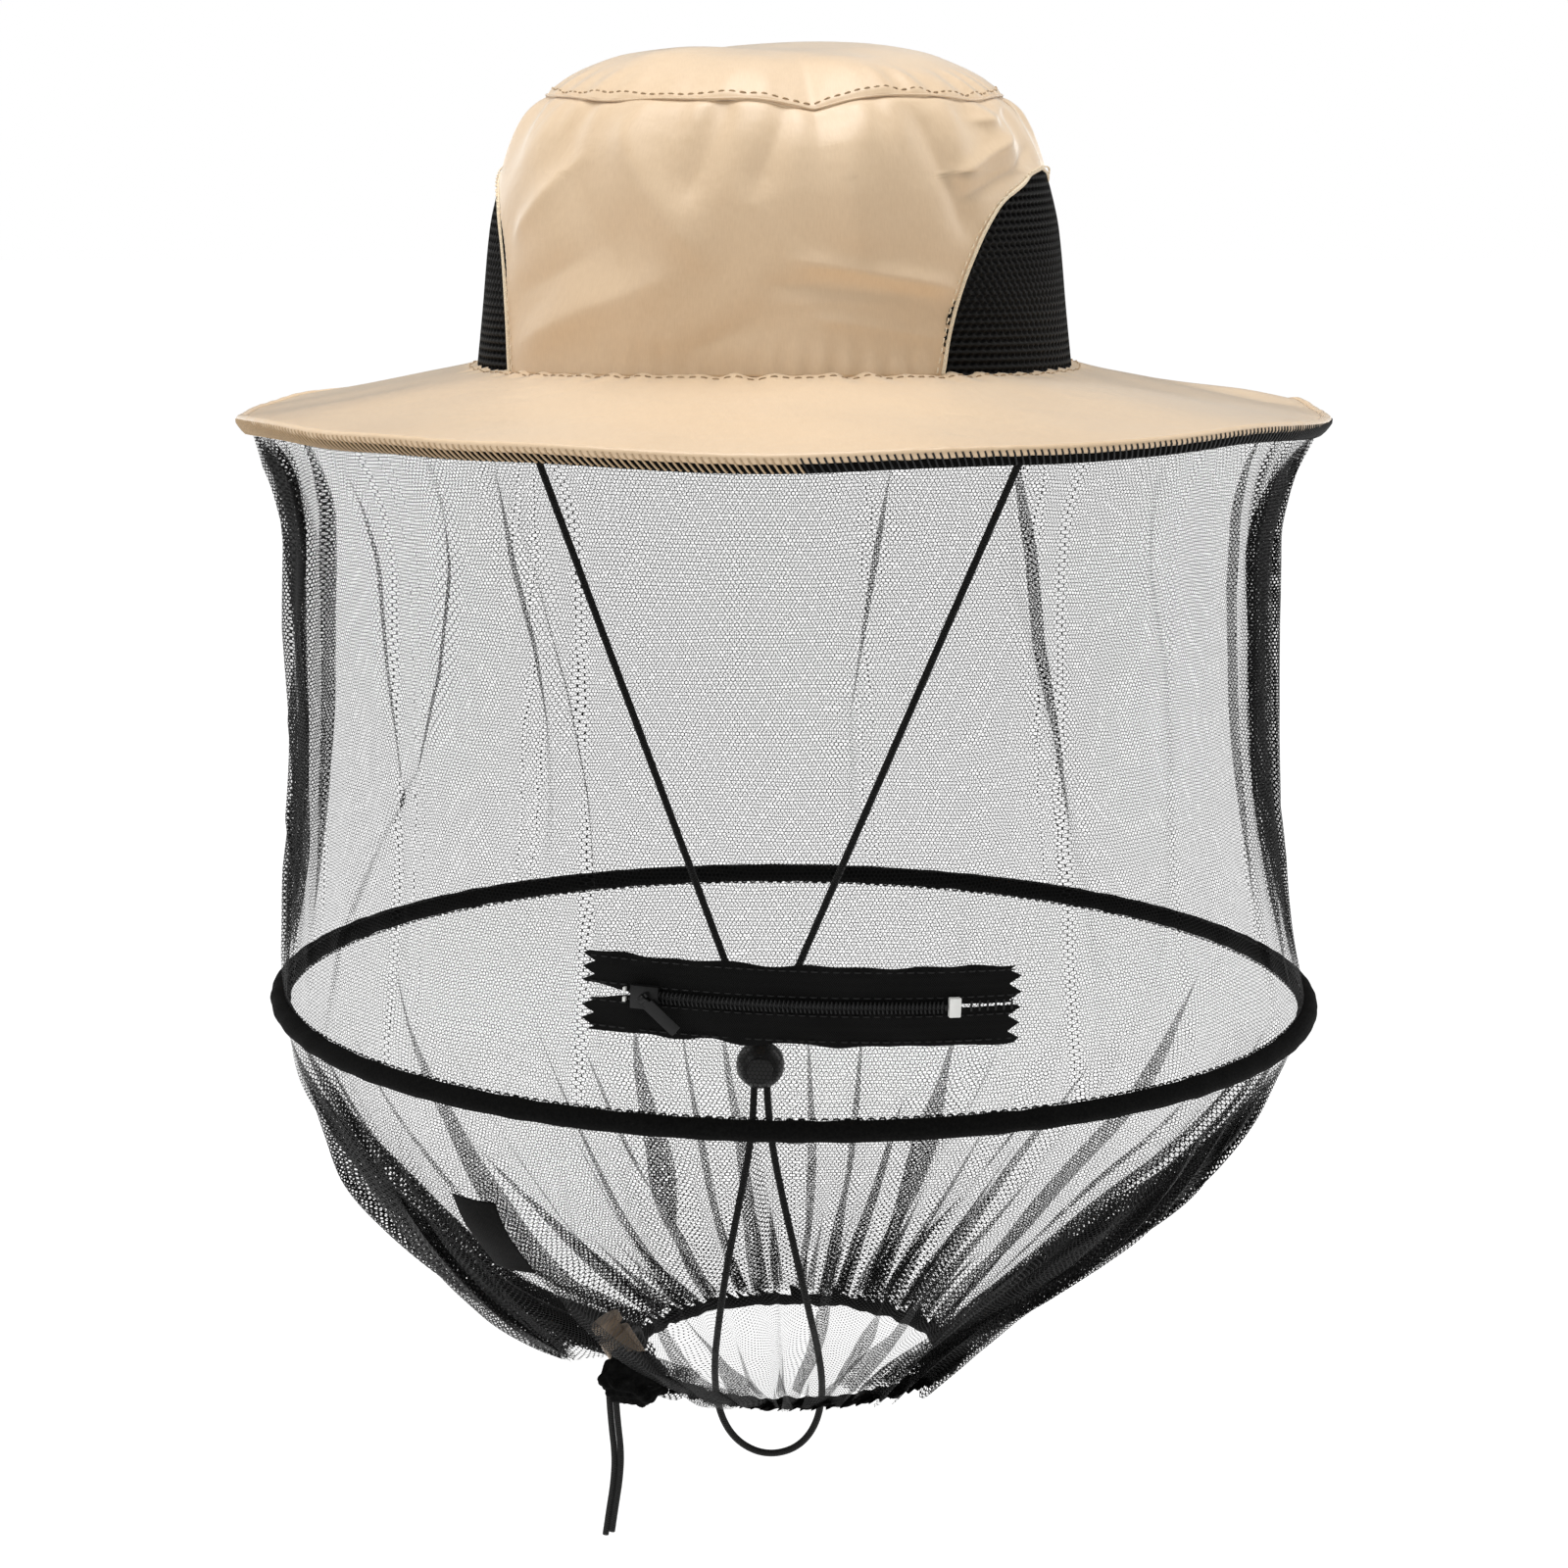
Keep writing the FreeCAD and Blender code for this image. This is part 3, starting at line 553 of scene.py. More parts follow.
def moulded(name, color, rough=0.32, spec=0.4, grain=0.04, scale=900, tint=1.35):
    m = Nodes(name, color, rough, spec)
    n = m.noise(scale, 4, 0.6)
    broad = m.noise(120, 3, 0.5)
    dark = tuple(c / tint for c in color)
    lite = tuple(min(1, c * tint) for c in color)
    m.color(m.ramp(broad, [(0.3, dark), (0.7, lite)]))
    m.wire(m.ramp(n, [(0.3, (rough * 0.8,) * 3), (0.75, (min(1, rough * 1.3),) * 3)]), m.bsdf.inputs["Roughness"])
    m.bump(n, grain * MM, 0.5)
    return m.mat


def thread(name, color, rough=0.55):
    m = Nodes(name, color, rough, 0.3)
    n = m.noise(2600, 2, 0.6)
    m.color(m.ramp(n, [(0.3, tuple(c * 0.72 for c in color)), (0.7, tuple(min(1, c * 1.2) for c in color))]))
    m.bump(n, 0.08 * MM, 0.7)
    return m.mat


def tape():
    m = Nodes("zip_tape", (0.004, 0.004, 0.004), 0.7, 0.08)
    u, v, both = m.uv()
    side = m.math("ABSOLUTE", m.math("SUBTRACT", m.math("FRACT", m.math("DIVIDE", v, 2.6 * MM)), 0.5))
    rib = m.math("SINE", m.math("MULTIPLY", m.math("ADD", u, m.math("MULTIPLY", side, 2.2 * MM)), 2 * math.pi / (0.7 * MM)))
    # the colour follows the ribs' relief: painted shade in the troughs, painted highlight on the crests
    m.color(m.ramp(m.math("MULTIPLY_ADD", rib, 0.5, 0.5), [(0.1, (0.003,) * 3), (0.9, (0.009, 0.009, 0.0085))]))
    m.bump(rib, 0.14 * MM, 0.8)
    m.set(Sheen_Weight=0.0)
    return m.mat


def wire_metal(name, color, rough):
    m = Nodes(name, color, rough, 0.5)
    m.set(Metallic=1.0)
    n = m.noise(1500, 3, 0.6)
    m.wire(m.ramp(n, [(0.3, (rough * 0.7,) * 3), (0.7, (rough * 1.4,) * 3)]), m.bsdf.inputs["Roughness"])
    m.color(m.ramp(n, [(0.3, tuple(c * 0.8 for c in color)), (0.7, color)]))
    return m.mat


def foam_mat():
    m = Nodes("foam", (0.62, 0.62, 0.60), 0.9, 0.1)
    n = m.noise(1400, 3, 0.7)
    m.color(m.ramp(n, [(0.3, (0.45, 0.45, 0.43)), (0.7, (0.72, 0.72, 0.70))]))
    m.bump(n, 0.3 * MM, 0.8)
    return m.mat


TAN = tan_cloth()
BLACK = black_cloth()
CASING = black_cloth("casing_cloth", pitch=0.7, tone=0.004, rough=0.8, spec=0.06)
TULLE = tulle()
SPACER = spacer_mesh()
CORD = braided("black_cord", 0.008, 2.6 * MM)
CREAM = thread("cream_thread", (0.80, 0.68, 0.50))
TANTHREAD = thread("tan_thread", (0.50, 0.36, 0.22))
BLACKTHREAD = thread("black_thread", (0.008, 0.008, 0.008))
TAPE = tape()
PLASTIC = moulded("black_plastic", (0.010, 0.010, 0.0095), 0.38, 0.35)
COILMAT = moulded("zip_coil", (0.008, 0.008, 0.008), 0.42, 0.3)
ENAMEL = moulded("zip_enamel", (0.006, 0.006, 0.006), 0.34, 0.3, 0.02)
WHITE = moulded("white_plastic", (0.83, 0.83, 0.80), 0.35, 0.5, 0.02, tint=1.06)
LOCKTAN = moulded("tan_plastic", (0.285, 0.205, 0.135), 0.45, 0.4, 0.03, tint=1.15)
STEEL = wire_metal("spring_steel", (0.50, 0.50, 0.50), 0.3)
BRASS = wire_metal("ferrule_metal", (0.62, 0.52, 0.34), 0.32)
FOAM = foam_mat()

# ------------------------------------------------------------------ cords first
LOCK = Vector((-0.0052, 0.0, -0.2508))
turn = math.radians(-13.5)
aL = (-95.9 * math.cos(turn) * MM, -95.9 * math.sin(turn) * MM, -8.9 * MM)
aR = (95.9 * math.cos(turn) * MM, 95.9 * math.sin(turn) * MM, -8.9 * MM)
TOP_L = (-5.2 * MM - 2.25 * MM, 0.0, -241.2 * MM)
TOP_R = (-5.2 * MM + 2.25 * MM, 0.0, -241.2 * MM)

# a taut strand is one straight run: its two ends
STRAND_L = [aL, TOP_L]
STRAND_R = [aR, TOP_R]
LOOP = [tuple(c * MM for c in p) for p in [
    (-7.3, 0, -242.6), (-7.2, 0.2, -258), (-8.6, 0.3, -280), (-12.9, 0.5, -303), (-17.5, 0.6, -327), (-20.8, 0.4, -350),
    (-22.4, 0, -367), (-20.6, 0, -383), (-14.4, 0, -394), (-3.8, 0, -399.5), (7.6, 0, -397.2), (15.0, 0, -388.5),
    (17.7, 0, -375), (16.1, 0, -360), (12.2, -0.2, -343), (7.3, -0.4, -321), (2.6, -0.4, -300), (-1.4, -0.2, -279),
    (-3.1, 0, -259), (-3.1, 0.1, -242.6)]]
TAIL = [(-48.5, -12, -354.5), (-49.9, -10.6, -347.5), (-52.5, -19, -344.3), (-56.6, -45.5, -346.7), (-57.2, -51.0, -354),
        (-56.4, -50.6, -367), (-55.2, -50.2, -379), (-55.8, -50.4, -389), (-57.4, -50.2, -399), (-58.8, -50.4, -408.5)]
UNIT = np.array(TAIL[3]) - np.array(TAIL[2])
UNIT = UNIT / np.linalg.norm(UNIT)
LEAN = np.array([-0.515, 0, 0.857])
LEAN = LEAN - UNIT * LEAN.dot(UNIT)
LEAN = LEAN / np.linalg.norm(LEAN)
ACROSS = np.cross(UNIT, LEAN)
TAIL_A = [tuple((np.array(p) - ACROSS * 1.35) * MM) for p in TAIL]
TAIL_B = [tuple((np.array(p) + ACROSS * 1.35) * MM) for p in TAIL]


def spline_line(points):
    """The line of a smooth NURBS spline through the route's control points, as Blender works it out."""
    cu = bpy.data.curves.new("route", "CURVE")
    cu.dimensions = "3D"
    cu.resolution_u = 14
    sp = cu.splines.new("NURBS")
    sp.points.add(len(points) - 1)
    for p, at in zip(sp.points, points):
        p.co = (*at, 1)
    sp.order_u = 3
    sp.use_endpoint_u = True
    ob = link(bpy.data.objects.new("route", cu))
    bpy.context.view_layer.update()
    me = bpy.data.meshes.new_from_object(ob.evaluated_get(bpy.context.evaluated_depsgraph_get()))
    line = np.array([v.co for v in me.vertices], float)
    bpy.data.objects.remove(ob)
    bpy.data.meshes.remove(me)
    return line


def cord_piece(name, points, dia, node):
    line = spline_line(points)
    o = tube(name, line, dia / 2, CORD, sides=14)
    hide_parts(node)
    return o, line, float(np.linalg.norm(np.diff(line, axis=0), axis=1).sum())


left, line, length = cord_piece("chin_strand_left", STRAND_L, 2.6 * MM, "chin_cord_left")
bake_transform(left)
right, line, length = cord_piece("chin_strand_right", STRAND_R, 2.6 * MM, "chin_cord_right")
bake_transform(right)
loop, line, length = cord_piece("chin_loop", LOOP, 2.6 * MM, "chin_cord_loop")
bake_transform(loop)
for word, pts in (("a", TAIL_A), ("b", TAIL_B)):
    tail, line, length = cord_piece("neck_tail_" + word, pts, 2.3 * MM, "neck_cord_tail_" + word)
    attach(tail, "neck")


# ------------------------------------------------------------------ shapes shared by the pieces
CROWN_TURN = -13.5                                  # the crown's front, in degrees from the hat's front


def around(deg, r, z, cx=0.0, cy=0.0):
    """Points at deg round the Z axis from the front (-Y) towards +X. r and z in mm, result in metres."""
    a = np.radians(deg)
    return np.stack([np.broadcast_to(cx + r * np.sin(a), np.shape(a + z)), np.broadcast_to(cy - r * np.cos(a), np.shape(a + z)),
                     np.broadcast_to(z + 0 * a, np.shape(a + z))], -1) * MM


def pchip(x, xs, ys):
    """A smooth curve through points that never overshoots."""
    xs, ys = np.asarray(xs, float), np.asarray(ys, float)
    h, d = np.diff(xs), np.diff(ys) / np.diff(xs)
    m = np.zeros(len(xs))
    m[0], m[-1] = d[0], d[-1]
    for i in range(1, len(xs) - 1):
        if d[i - 1] * d[i] > 0:
            m[i] = 2 * d[i - 1] * d[i] / (d[i - 1] + d[i])
    x = np.clip(x, xs[0], xs[-1])
    k = np.clip(np.searchsorted(xs, x, side="right") - 1, 0, len(xs) - 2)
    t = (x - xs[k]) / h[k]
    return ((2 * t**3 - 3 * t**2 + 1) * ys[k] + (t**3 - 2 * t**2 + t) * h[k] * m[k] + (-2 * t**3 + 3 * t**2) * ys[k + 1] + (t**3 - t**2) * h[k] * m[k + 1])


def wall_radius(z):
    return pchip(z, [0, 20, 42, 60, 70, 78, 84, 88, 91.6], [102.4, 100.2, 98.0, 95.2, 92.2, 88.8, 85.0, 81.6, 77.6])


def edge_angle(z):
    return pchip(z, [0, 22.8, 39.6, 55.8, 65.5, 68.0], [45.6, 49.7, 54.4, 62.8, 77.8, 90.0])


def seam_drop(c):
    """How far the top seam dips below its ring, in mm, at crown angle c in degrees."""
    dip = 3.6 * np.exp(-np.abs((c - 23) / 8.5) ** 1.3) + 1.2 * bump(c, -30, 14) - 1.0 * bump(c, 48, 12) + 1.2 * bump(c, 70, 10)
    return dip + 0.35 * ring_waves(np.radians(c), 0, 5, 4, 16, 0, 5)


def wall_push(c, z, seed=0):
    """How far the crown's cloth stands out of its smooth wall, in mm."""
    s = np.radians(c) * 96
    top, low = smooth((z - 52) / 34), smooth((20 - z) / 20)
    tuck = ring_waves(np.radians(c), 0, 11 + seed, 26, 52, 0, 6) * 0.6 * smooth((z - 72) / 16) * smooth((92 - z) / 2.5)
    tuck = tuck + ring_waves(np.radians(c), 0, 31 + seed, 12, 22, 0, 4) * 1.1 * top * smooth((92 - z) / 6)
    base = ring_waves(np.radians(c), 0, 17 + seed, 50, 84, 0, 6) * 0.42 * low * window(c, 10, 26, 22)
    broad = waves(s, z, 3 + seed, 5, 0.05, 0.035, 0.4) * 1.5 * smooth(z / 14) * smooth((91 - z) / 14)
    fine = waves(s, z, 8 + seed, 7, 0.16, 0.11, 0.5) * 0.2 * smooth(z / 10) * smooth((91 - z) / 10)
    return tuck + base + broad + fine


def crease(c, z, a, b, wide, high, sharp=1.0):
    """A long fold from a to b, each (crown angle, z): a ridge when high is positive, a dent when negative."""
    s, sa, sb = c * 1.66, a[0] * 1.66, b[0] * 1.66
    dx, dz = sb - sa, b[1] - a[1]
    n2 = dx * dx + dz * dz
    t = ((s - sa) * dx + (z - a[1]) * dz) / n2
    off = ((s - sa) * dz - (z - a[1]) * dx) / math.sqrt(n2)
    along = smooth((t + 0.15) / 0.35) * smooth((1.15 - t) / 0.35)
    return high * np.exp(-np.abs(off / wide) ** (1.6 * sharp)) * along


def base_lift(deg):
    """The crown's base seam rises at the front, with the brim."""
    return 4.6 * np.clip(np.cos(np.radians(deg)), 0, 1) ** 1.6


def crown_point(c, z, lift=0.0, seed=0, extra=0.0):
    """A point of the crown's outer cloth. c in degrees from the crown's front, z the height on the smooth wall."""
    drop = seam_drop(c) * smooth((z - 60) / 31)
    push = wall_push(c, z, seed) + extra
    least = -1.1 - 2.6 * smooth((z - 24) / 12)
    push = np.where(push < 0, least * np.tanh(push / least), push)
    return around(c + CROWN_TURN, wall_radius(z) + push + lift, z - drop + base_lift(c + CROWN_TURN) * smooth((56 - z) / 56))


def crown_front_extra(c, z):
    e = crease(c, z, (-40, 86), (-14, 30), 11.0, -3.4) + crease(c, z, (-24, 90), (0, 40), 7.5, 3.0)
    e = e + crease(c, z, (4, 92), (-4, 60), 6.0, -2.2) + crease(c, z, (17, 92), (10, 62), 5.5, -2.4) + crease(c, z, (28, 88), (30, 40), 9.0, 3.0)
    e = e + crease(c, z, (47, 86), (54, 48), 6.0, -3.0) + crease(c, z, (18, 40), (49, 30), 4.0, 2.2) + crease(c, z, (14, 31), (48, 20), 3.6, -2.0)
    e = e + crease(c, z, (20, 20), (46, 12), 3.4, 1.2) + crease(c, z, (-42, 10), (-6, 34), 7.0, 2.0) + crease(c, z, (-46, 24), (-14, 50), 6.5, -1.6)
    e = e + crease(c, z, (52, 66), (78, 82), 2.6, 2.2) + crease(c, z, (54, 60), (84, 74), 2.4, -2.0) + crease(c, z, (62, 84), (84, 89), 2.2, 1.4)
    e = e + crease(c, z, (-48, 46), (-30, 74), 5.0, 1.8) + crease(c, z, (-2, 8), (24, 28), 5.0, -1.4)
    return e


# ------------------------------------------------------------------ crown
def crown_panel(name, node, middle, seed, extra):
    cols, rows = 340, 120
    z = np.concatenate([np.linspace(0, 68, 80), np.linspace(68, 91.8, rows - 80)[1:]])
    s = np.linspace(-1, 1, cols)
    S, Z = np.meshgrid(s, z, indexing="ij")
    C = S * np.where(Z < 68, edge_angle(np.minimum(Z, 68)), 90.0)
    push = extra(C, Z) * smooth((92 - np.abs(C)) / 10)
    top = -0.9 * smooth((Z - 89.6) / 2.2)
    side = -0.5 * smooth((np.abs(S) - 0.975) / 0.025) * (Z < 70)
    P = crown_point(C + middle, Z, seed=seed, extra=push + top + side)
    uv = np.stack([np.radians(C) * 0.096, Z * MM], -1)
    o = grid(name, P, TAN, uv)
    thicken(o, 0.7 * MM, -1.0)
    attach(o, "hat")
    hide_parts(node)
    return o


def none(c, z):
    return 0 * c


def rear_extra(c, z):
    return crease(c, z, (-30, 80), (-6, 34), 7, -2.0) + crease(c, z, (14, 84), (34, 40), 6, 1.8) + crease(c, z, (-50, 20), (-20, 44), 5, 1.2)


front = crown_panel("crown_front_cloth", "crown_front_panel", 0, 0, crown_front_extra)
rear = crown_panel("crown_rear_cloth", "crown_rear_panel", 180, 40, rear_extra)

# the top, a shallow dome gathered a little at its seam
rr = np.concatenate([[0.6], np.linspace(4, 71, 46), np.linspace(71.6, 77.8, 14)])
deg = np.linspace(0, 360, 420, endpoint=False)
D, R = np.meshgrid(deg, rr, indexing="ij")
dome = pchip(R, [0, 30, 50, 62, 70, 77.8], [109.2, 108.2, 105.0, 101.2, 97.4, 92.0])
C = D - CROWN_TURN
C = (C + 180) % 360 - 180
rim = smooth((R - 50) / 36)
Z = dome - seam_drop(C) * smooth((R - 40) / 37)
Z = Z + ring_waves(np.radians(C), 0, 71, 24, 46, 0, 6) * 0.5 * smooth((R - 60) / 12) * smooth((79 - R) / 3) + ring_waves(np.radians(C), 0, 72, 5, 11, 0, 4) * 0.9 * smooth((R - 30) / 40)
X, Y = R * np.sin(np.radians(D)), -R * np.cos(np.radians(D))
Z = Z + waves(X, Y, 9, 5, 0.045, 0.045) * 1.4 * smooth((76 - R) / 30) - 0.9 * smooth((R - 76.2) / 1.5)
P = np.stack([X, Y, Z], -1) * MM
top = grid("crown_top_cloth", P, TAN, np.stack([P[..., 0], P[..., 1]], -1).reshape(-1, 2), wrap=False)
bm = bmesh.new()
bm.from_mesh(top.data)
bm.verts.ensure_lookup_table()
m_ = P.shape[1]
lay = bm.loops.layers.uv.active
n_ = P.shape[0]
for j in range(m_ - 1):
    ids = [(n_ - 1) * m_ + j, j, j + 1, (n_ - 1) * m_ + j + 1]
    f = bm.faces.new([bm.verts[i] for i in ids])
    f.smooth = True
    for l in f.loops:
        l[lay].uv = (l.vert.co.x, l.vert.co.y)
f = bm.faces.new([bm.verts[i * m_] for i in reversed(range(n_))])
f.smooth = True
for l in f.loops:
    l[lay].uv = (l.vert.co.x, l.vert.co.y)
bmesh.ops.recalc_face_normals(bm, faces=bm.faces)
bm.to_mesh(top.data)
bm.free()
thicken(top, 0.7 * MM, -1.0)
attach(top, "hat")
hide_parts("crown_top_panel")

deg = np.linspace(-180, 180, 480, endpoint=False)
seam = np.array([crown_point(np.array(c), np.array(91.7), seed=0 if abs(c) < 90 else 40) for c in deg])
lip = tube("crown_top_edge", seam, 0.5 * MM, TAN, sides=8, closed=True, squash=(1.0, 0.8))
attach(lip, "hat")
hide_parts("crown_top_piping")
row = around(deg + CROWN_TURN, 75.6, 93.6 - seam_drop(deg) * 0.96)
row[:, 2] += (ring_waves(np.radians(deg), 0, 71, 24, 46, 0, 6) * 0.4 + ring_waves(np.radians(deg), 0, 72, 5, 11, 0, 4) * 0.9) * MM
o = stitch_row("crown_top_stitch", row, TANTHREAD, 2.2 * MM, 1.3 * MM, 0.24 * MM, around(deg + CROWN_TURN, 500.0, 900.0))
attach(o, "hat")

# cheeks: knitted spacer mesh with rows of small oval holes, edged with a cream strip
for word, middle in (("left", -90), ("right", 90)):
    pts_z = np.linspace(0, 67.6, 170)
    cols = 300
    s = np.linspace(-1, 1, cols)
    S, Z = np.meshgrid(s, pts_z, indexing="ij")
    half = 90 - edge_angle(Z) + 1.2
    C = S * half
    u, v = np.radians(C) * 96, Z
    rowi = np.floor(v / 2.5)
    fu = (u / 3.3 + (rowi % 2) * 0.5) % 1 - 0.5
    fv = (v / 2.5) % 1 - 0.5
    d = np.sqrt((fu * 2.25) ** 2 + (fv * 2.7) ** 2)
    hole = 1 - smooth((d - 0.55) / 0.42)
    bulge = 1.0 * window(S, 0, 0.7, 0.5) * smooth((66 - Z) / 20)
    push = -0.9 - 0.8 * hole + bulge + 0.12 * np.sin(u * 2 * math.pi / 0.9) * np.sin(v * 2 * math.pi / 0.8)
    P = around(C + middle + CROWN_TURN, wall_radius(Z) + push, Z + base_lift(C + middle + CROWN_TURN) * smooth((56 - Z) / 56))
    o = grid("side_airmesh_" + word, P, SPACER, np.stack([u, v], -1) * MM)
    thicken(o, 0.5 * MM, -1.0)
    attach(o, "hat")
    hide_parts("side_mesh_" + word)
    zz = np.linspace(0.2, 67.9, 120)
    e = 90 - edge_angle(zz)
    cc = np.concatenate([-e, e[::-1][1:]]) + middle
    zz = np.concatenate([zz, zz[::-1][1:]])
    seeds = [0 if abs(c) < 90 else 40 for c in cc]
    path = np.array([crown_point(np.array(c), np.array(z), lift=-0.1, seed=q) if z > 60 else around(np.array(c + CROWN_TURN), wall_radius(z) - 0.1 + wall_push(np.array(c), np.array(z), q) * 0.6, np.array(z + base_lift(c + CROWN_TURN) * smooth((56 - z) / 56)))
                     for c, z, q in zip(cc, zz, seeds)])
    o = tube("panel_edge_" + word, path, 0.72 * MM, CREAM, sides=10, squash=(1.0, 1.0))
    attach(o, "hat")
    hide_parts("panel_piping_" + word)
    inner = np.sign(cc - middle) * -1
    path2 = path.copy()
    o = stitch_row("panel_stitch_" + word, around(cc + CROWN_TURN + np.where(cc < middle, -1.5, 1.5), wall_radius(zz) + 0.35, zz + 0.6 * (np.abs(cc - middle) < 22) + base_lift(cc + CROWN_TURN) * smooth((56 - zz) / 56)), CREAM,
                   2.0 * MM, 1.3 * MM, 0.24 * MM, around(cc + CROWN_TURN, 1000.0, 30.0), closed=False)
    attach(o, "hat")

# sweatband inside the crown
deg = np.linspace(0, 360, 240, endpoint=False)
zz = np.linspace(-2.0, 24.6, 14)
D, Z = np.meshgrid(deg, zz, indexing="ij")
w = ring_waves(np.radians(D), Z, 91, 9, 30, 0.05, 5) * 0.25
P = around(D, 97.5 + w - 0.5 * smooth((Z - 20) / 5), Z)
o = grid("sweatband_cloth", P, BLACK, np.stack([np.radians(D) * 0.0975, Z * MM], -1), wrap=True)
thicken(o, 1.0 * MM, -1.0)
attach(o, "hat")
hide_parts("sweatband")
o = stitch_row("sweatband_stitch", around(deg, 95.9, 22.5), TANTHREAD, 2.4 * MM, 1.6 * MM, 0.2 * MM, around(deg + 180, 1000.0, 0.0))
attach(o, "hat")
for node in ("chin_anchor_left", "chin_anchor_right"):
    bevelled(node, BLACK, "hat", 0.5 * MM, 4)

# ------------------------------------------------------------------ brim
def brim_edge_z(deg):
    a = np.radians(deg)
    side_ = np.abs((np.asarray(deg) + 180) % 360 - 180)
    return pchip(side_, [0, 16, 42, 67, 90, 120, 180], [-10.9, -10.7, -9.8, -12.6, -15.8, -17, -17]) + 0.35 * ring_waves(a, 0, 13, 3, 9, 0, 4)


def brim_point(deg, f, drop=0.0, rim=184.6):
    """A point of the brim: f from 0 at the crown to 1 at the edge; drop below the top cloth, in mm."""
    a = np.radians(deg)
    r = 101.4 + (rim - 101.4) * f
    foot = 0.8 + base_lift(deg)
    z = foot + (brim_edge_z(deg) - foot) * (np.sign(f) * np.abs(f) ** 0.96) - 0.5 * np.sin(math.pi * np.clip(f, 0, 1))
    back = smooth((np.cos(np.radians(deg - 128)) - 0.72) / 0.22)
    z = z + back * 1.5 * np.sin(np.radians(deg) * 26) * smooth((f - 0.35) / 0.5) * smooth((1.25 - f) / 0.5)
    z = z + ring_waves(a, f * 3, 23, 6, 18, 1.2, 6) * 0.55 * smooth(f / 0.4) + waves(r * np.sin(a), r * np.cos(a), 29, 5, 0.09, 0.09) * 0.22
    z = z + 0.45 * ring_waves(a, 0, 37, 40, 70, 0, 5) * smooth((0.16 - f) / 0.16)
    return around(deg, r, z - drop, cx=3.3 * f)


def brim_ring(name, node, mat, drop, thick, f0, f1, rows=110):
    deg = np.linspace(0, 360, 560, endpoint=False)
    f = np.linspace(f0, f1, rows)
    D, F = np.meshgrid(deg, f, indexing="ij")
    P = brim_point(D, F, drop)
    r = 102.6 + 82 * F
    uv = np.stack([np.radians(D) * 0.145, r * MM], -1)
    o = grid(name, P, mat, uv, wrap=True)
    thicken(o, thick * MM, 1.0)
    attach(o, "hat")
    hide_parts(node)
    return o


top_cloth = brim_ring("brim_upper_cloth", "brim_top_cloth", TAN, 0.0, 0.5, -0.03, 1.0, 130)
foam = brim_ring("brim_foam_layer", "brim_foam", FOAM, 0.75, 1.2, 0.0, 0.99, 60)
under = brim_ring("brim_lower_cloth", "brim_under_cloth", BLACK, 2.15, 0.5, -0.03, 1.0, 90)

deg = np.linspace(-180, 180, 720, endpoint=False)
path = brim_point(deg, 1.0 + 0 * deg, 1.2, rim=186.2)
roll = 1.75 + 0.10 * ring_waves(np.radians(deg), 0, 41, 60, 120, 0, 6)
o = tube("brim_rolled_edge", path, 1.8 * MM, TAN, sides=14, closed=True, radii=roll * MM)
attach(o, "hat")
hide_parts("brim_binding")
o = tube("brim_edge_wire", path, 0.65 * MM, STEEL, sides=8, closed=True)
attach(o, "hat")
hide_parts("brim_wire")
o = stitch_row("brim_base_stitch", brim_point(deg, 0.045 + 0 * deg, -0.1), TANTHREAD, 2.4 * MM, 1.4 * MM, 0.24 * MM, around(deg, 300.0, 700.0))
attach(o, "hat")


def wrap_threads(name, degs, mat, radius=0.34):
    """Overlock loops over the net's top edge: each goes out, down and back in on a slant."""
    verts, faces = [], []
    ang = np.linspace(0, 2 * math.pi, 5, endpoint=False)
    prof = [(3.35, -0.9, 0.0), (3.3, -2.0, 0.16), (2.6, -3.1, 0.34), (1.6, -4.4, 0.6), (0.4, -5.6, 0.85), (-1.6, -5.4, 1.0)]
    for d in degs:
        base = brim_point(np.array(d), np.array(1.0), 0.0, rim=186.2) / MM
        pts = []
        for dr, dz, sl in prof:
            a = math.radians(d + sl * 0.95)
            rad = 184.6 + dr
            pts.append(np.array([3.3 + rad * math.sin(a), -rad * math.cos(a), base[2] + dz]) * MM)
        pts = np.array(pts)
        t, n, b = frames_along(pts)
        start = len(verts)
        for i in range(len(pts)):
            for q in ang:
                verts.append(pts[i] + (n[i] * math.cos(q) + b[i] * math.sin(q)) * radius * MM)
        for i in range(len(pts) - 1):
            for j in range(5):
                k = (j + 1) % 5
                faces.append((start + i * 5 + j, start + i * 5 + k, start + (i + 1) * 5 + k, start + (i + 1) * 5 + j))
    return mesh_obj(name, verts, faces, mat)


base_ring = np.linspace(-180, 180, 540, endpoint=False)
rim = brim_point(base_ring, 1.0 + 0 * base_ring, 0.0, rim=186.2) / MM
levels = np.array([-2.2, -3.4, -4.6, -5.8])
P = np.zeros((len(base_ring), len(levels), 3))
for j, h in enumerate(levels):
    P[:, j] = around(base_ring, 184.5 - 0.25 * j, rim[:, 2] + h, cx=3.3)
o = grid("overlock_band", P, BLACK, np.stack(np.meshgrid(np.radians(base_ring) * 0.185, levels * MM, indexing="ij"), -1), wrap=True)
thicken(o, 0.8 * MM, -1.0)
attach(o, "hat")
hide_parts("overlock_seam")
pitch = math.degrees(2.3 / 185)
a1 = wrap_threads("overlock_threads_black", np.arange(1.5, 180, pitch), BLACKTHREAD)
a2 = wrap_threads("overlock_threads_tan", np.arange(-178.5, 1.5, pitch), TANTHREAD, 0.36)
for o in (a1, a2):
    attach(o, "hat")

# ------------------------------------------------------------------ the hoop
lo_, hi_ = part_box("hoop_sleeve")
HOOP = (lo_[2] + hi_[2]) / 2 / MM
lo_, hi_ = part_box("neck_hem")


def lean(deg):
    """The hoop hangs a little higher on its left."""
    return -1.8 * np.sin(np.radians(deg))


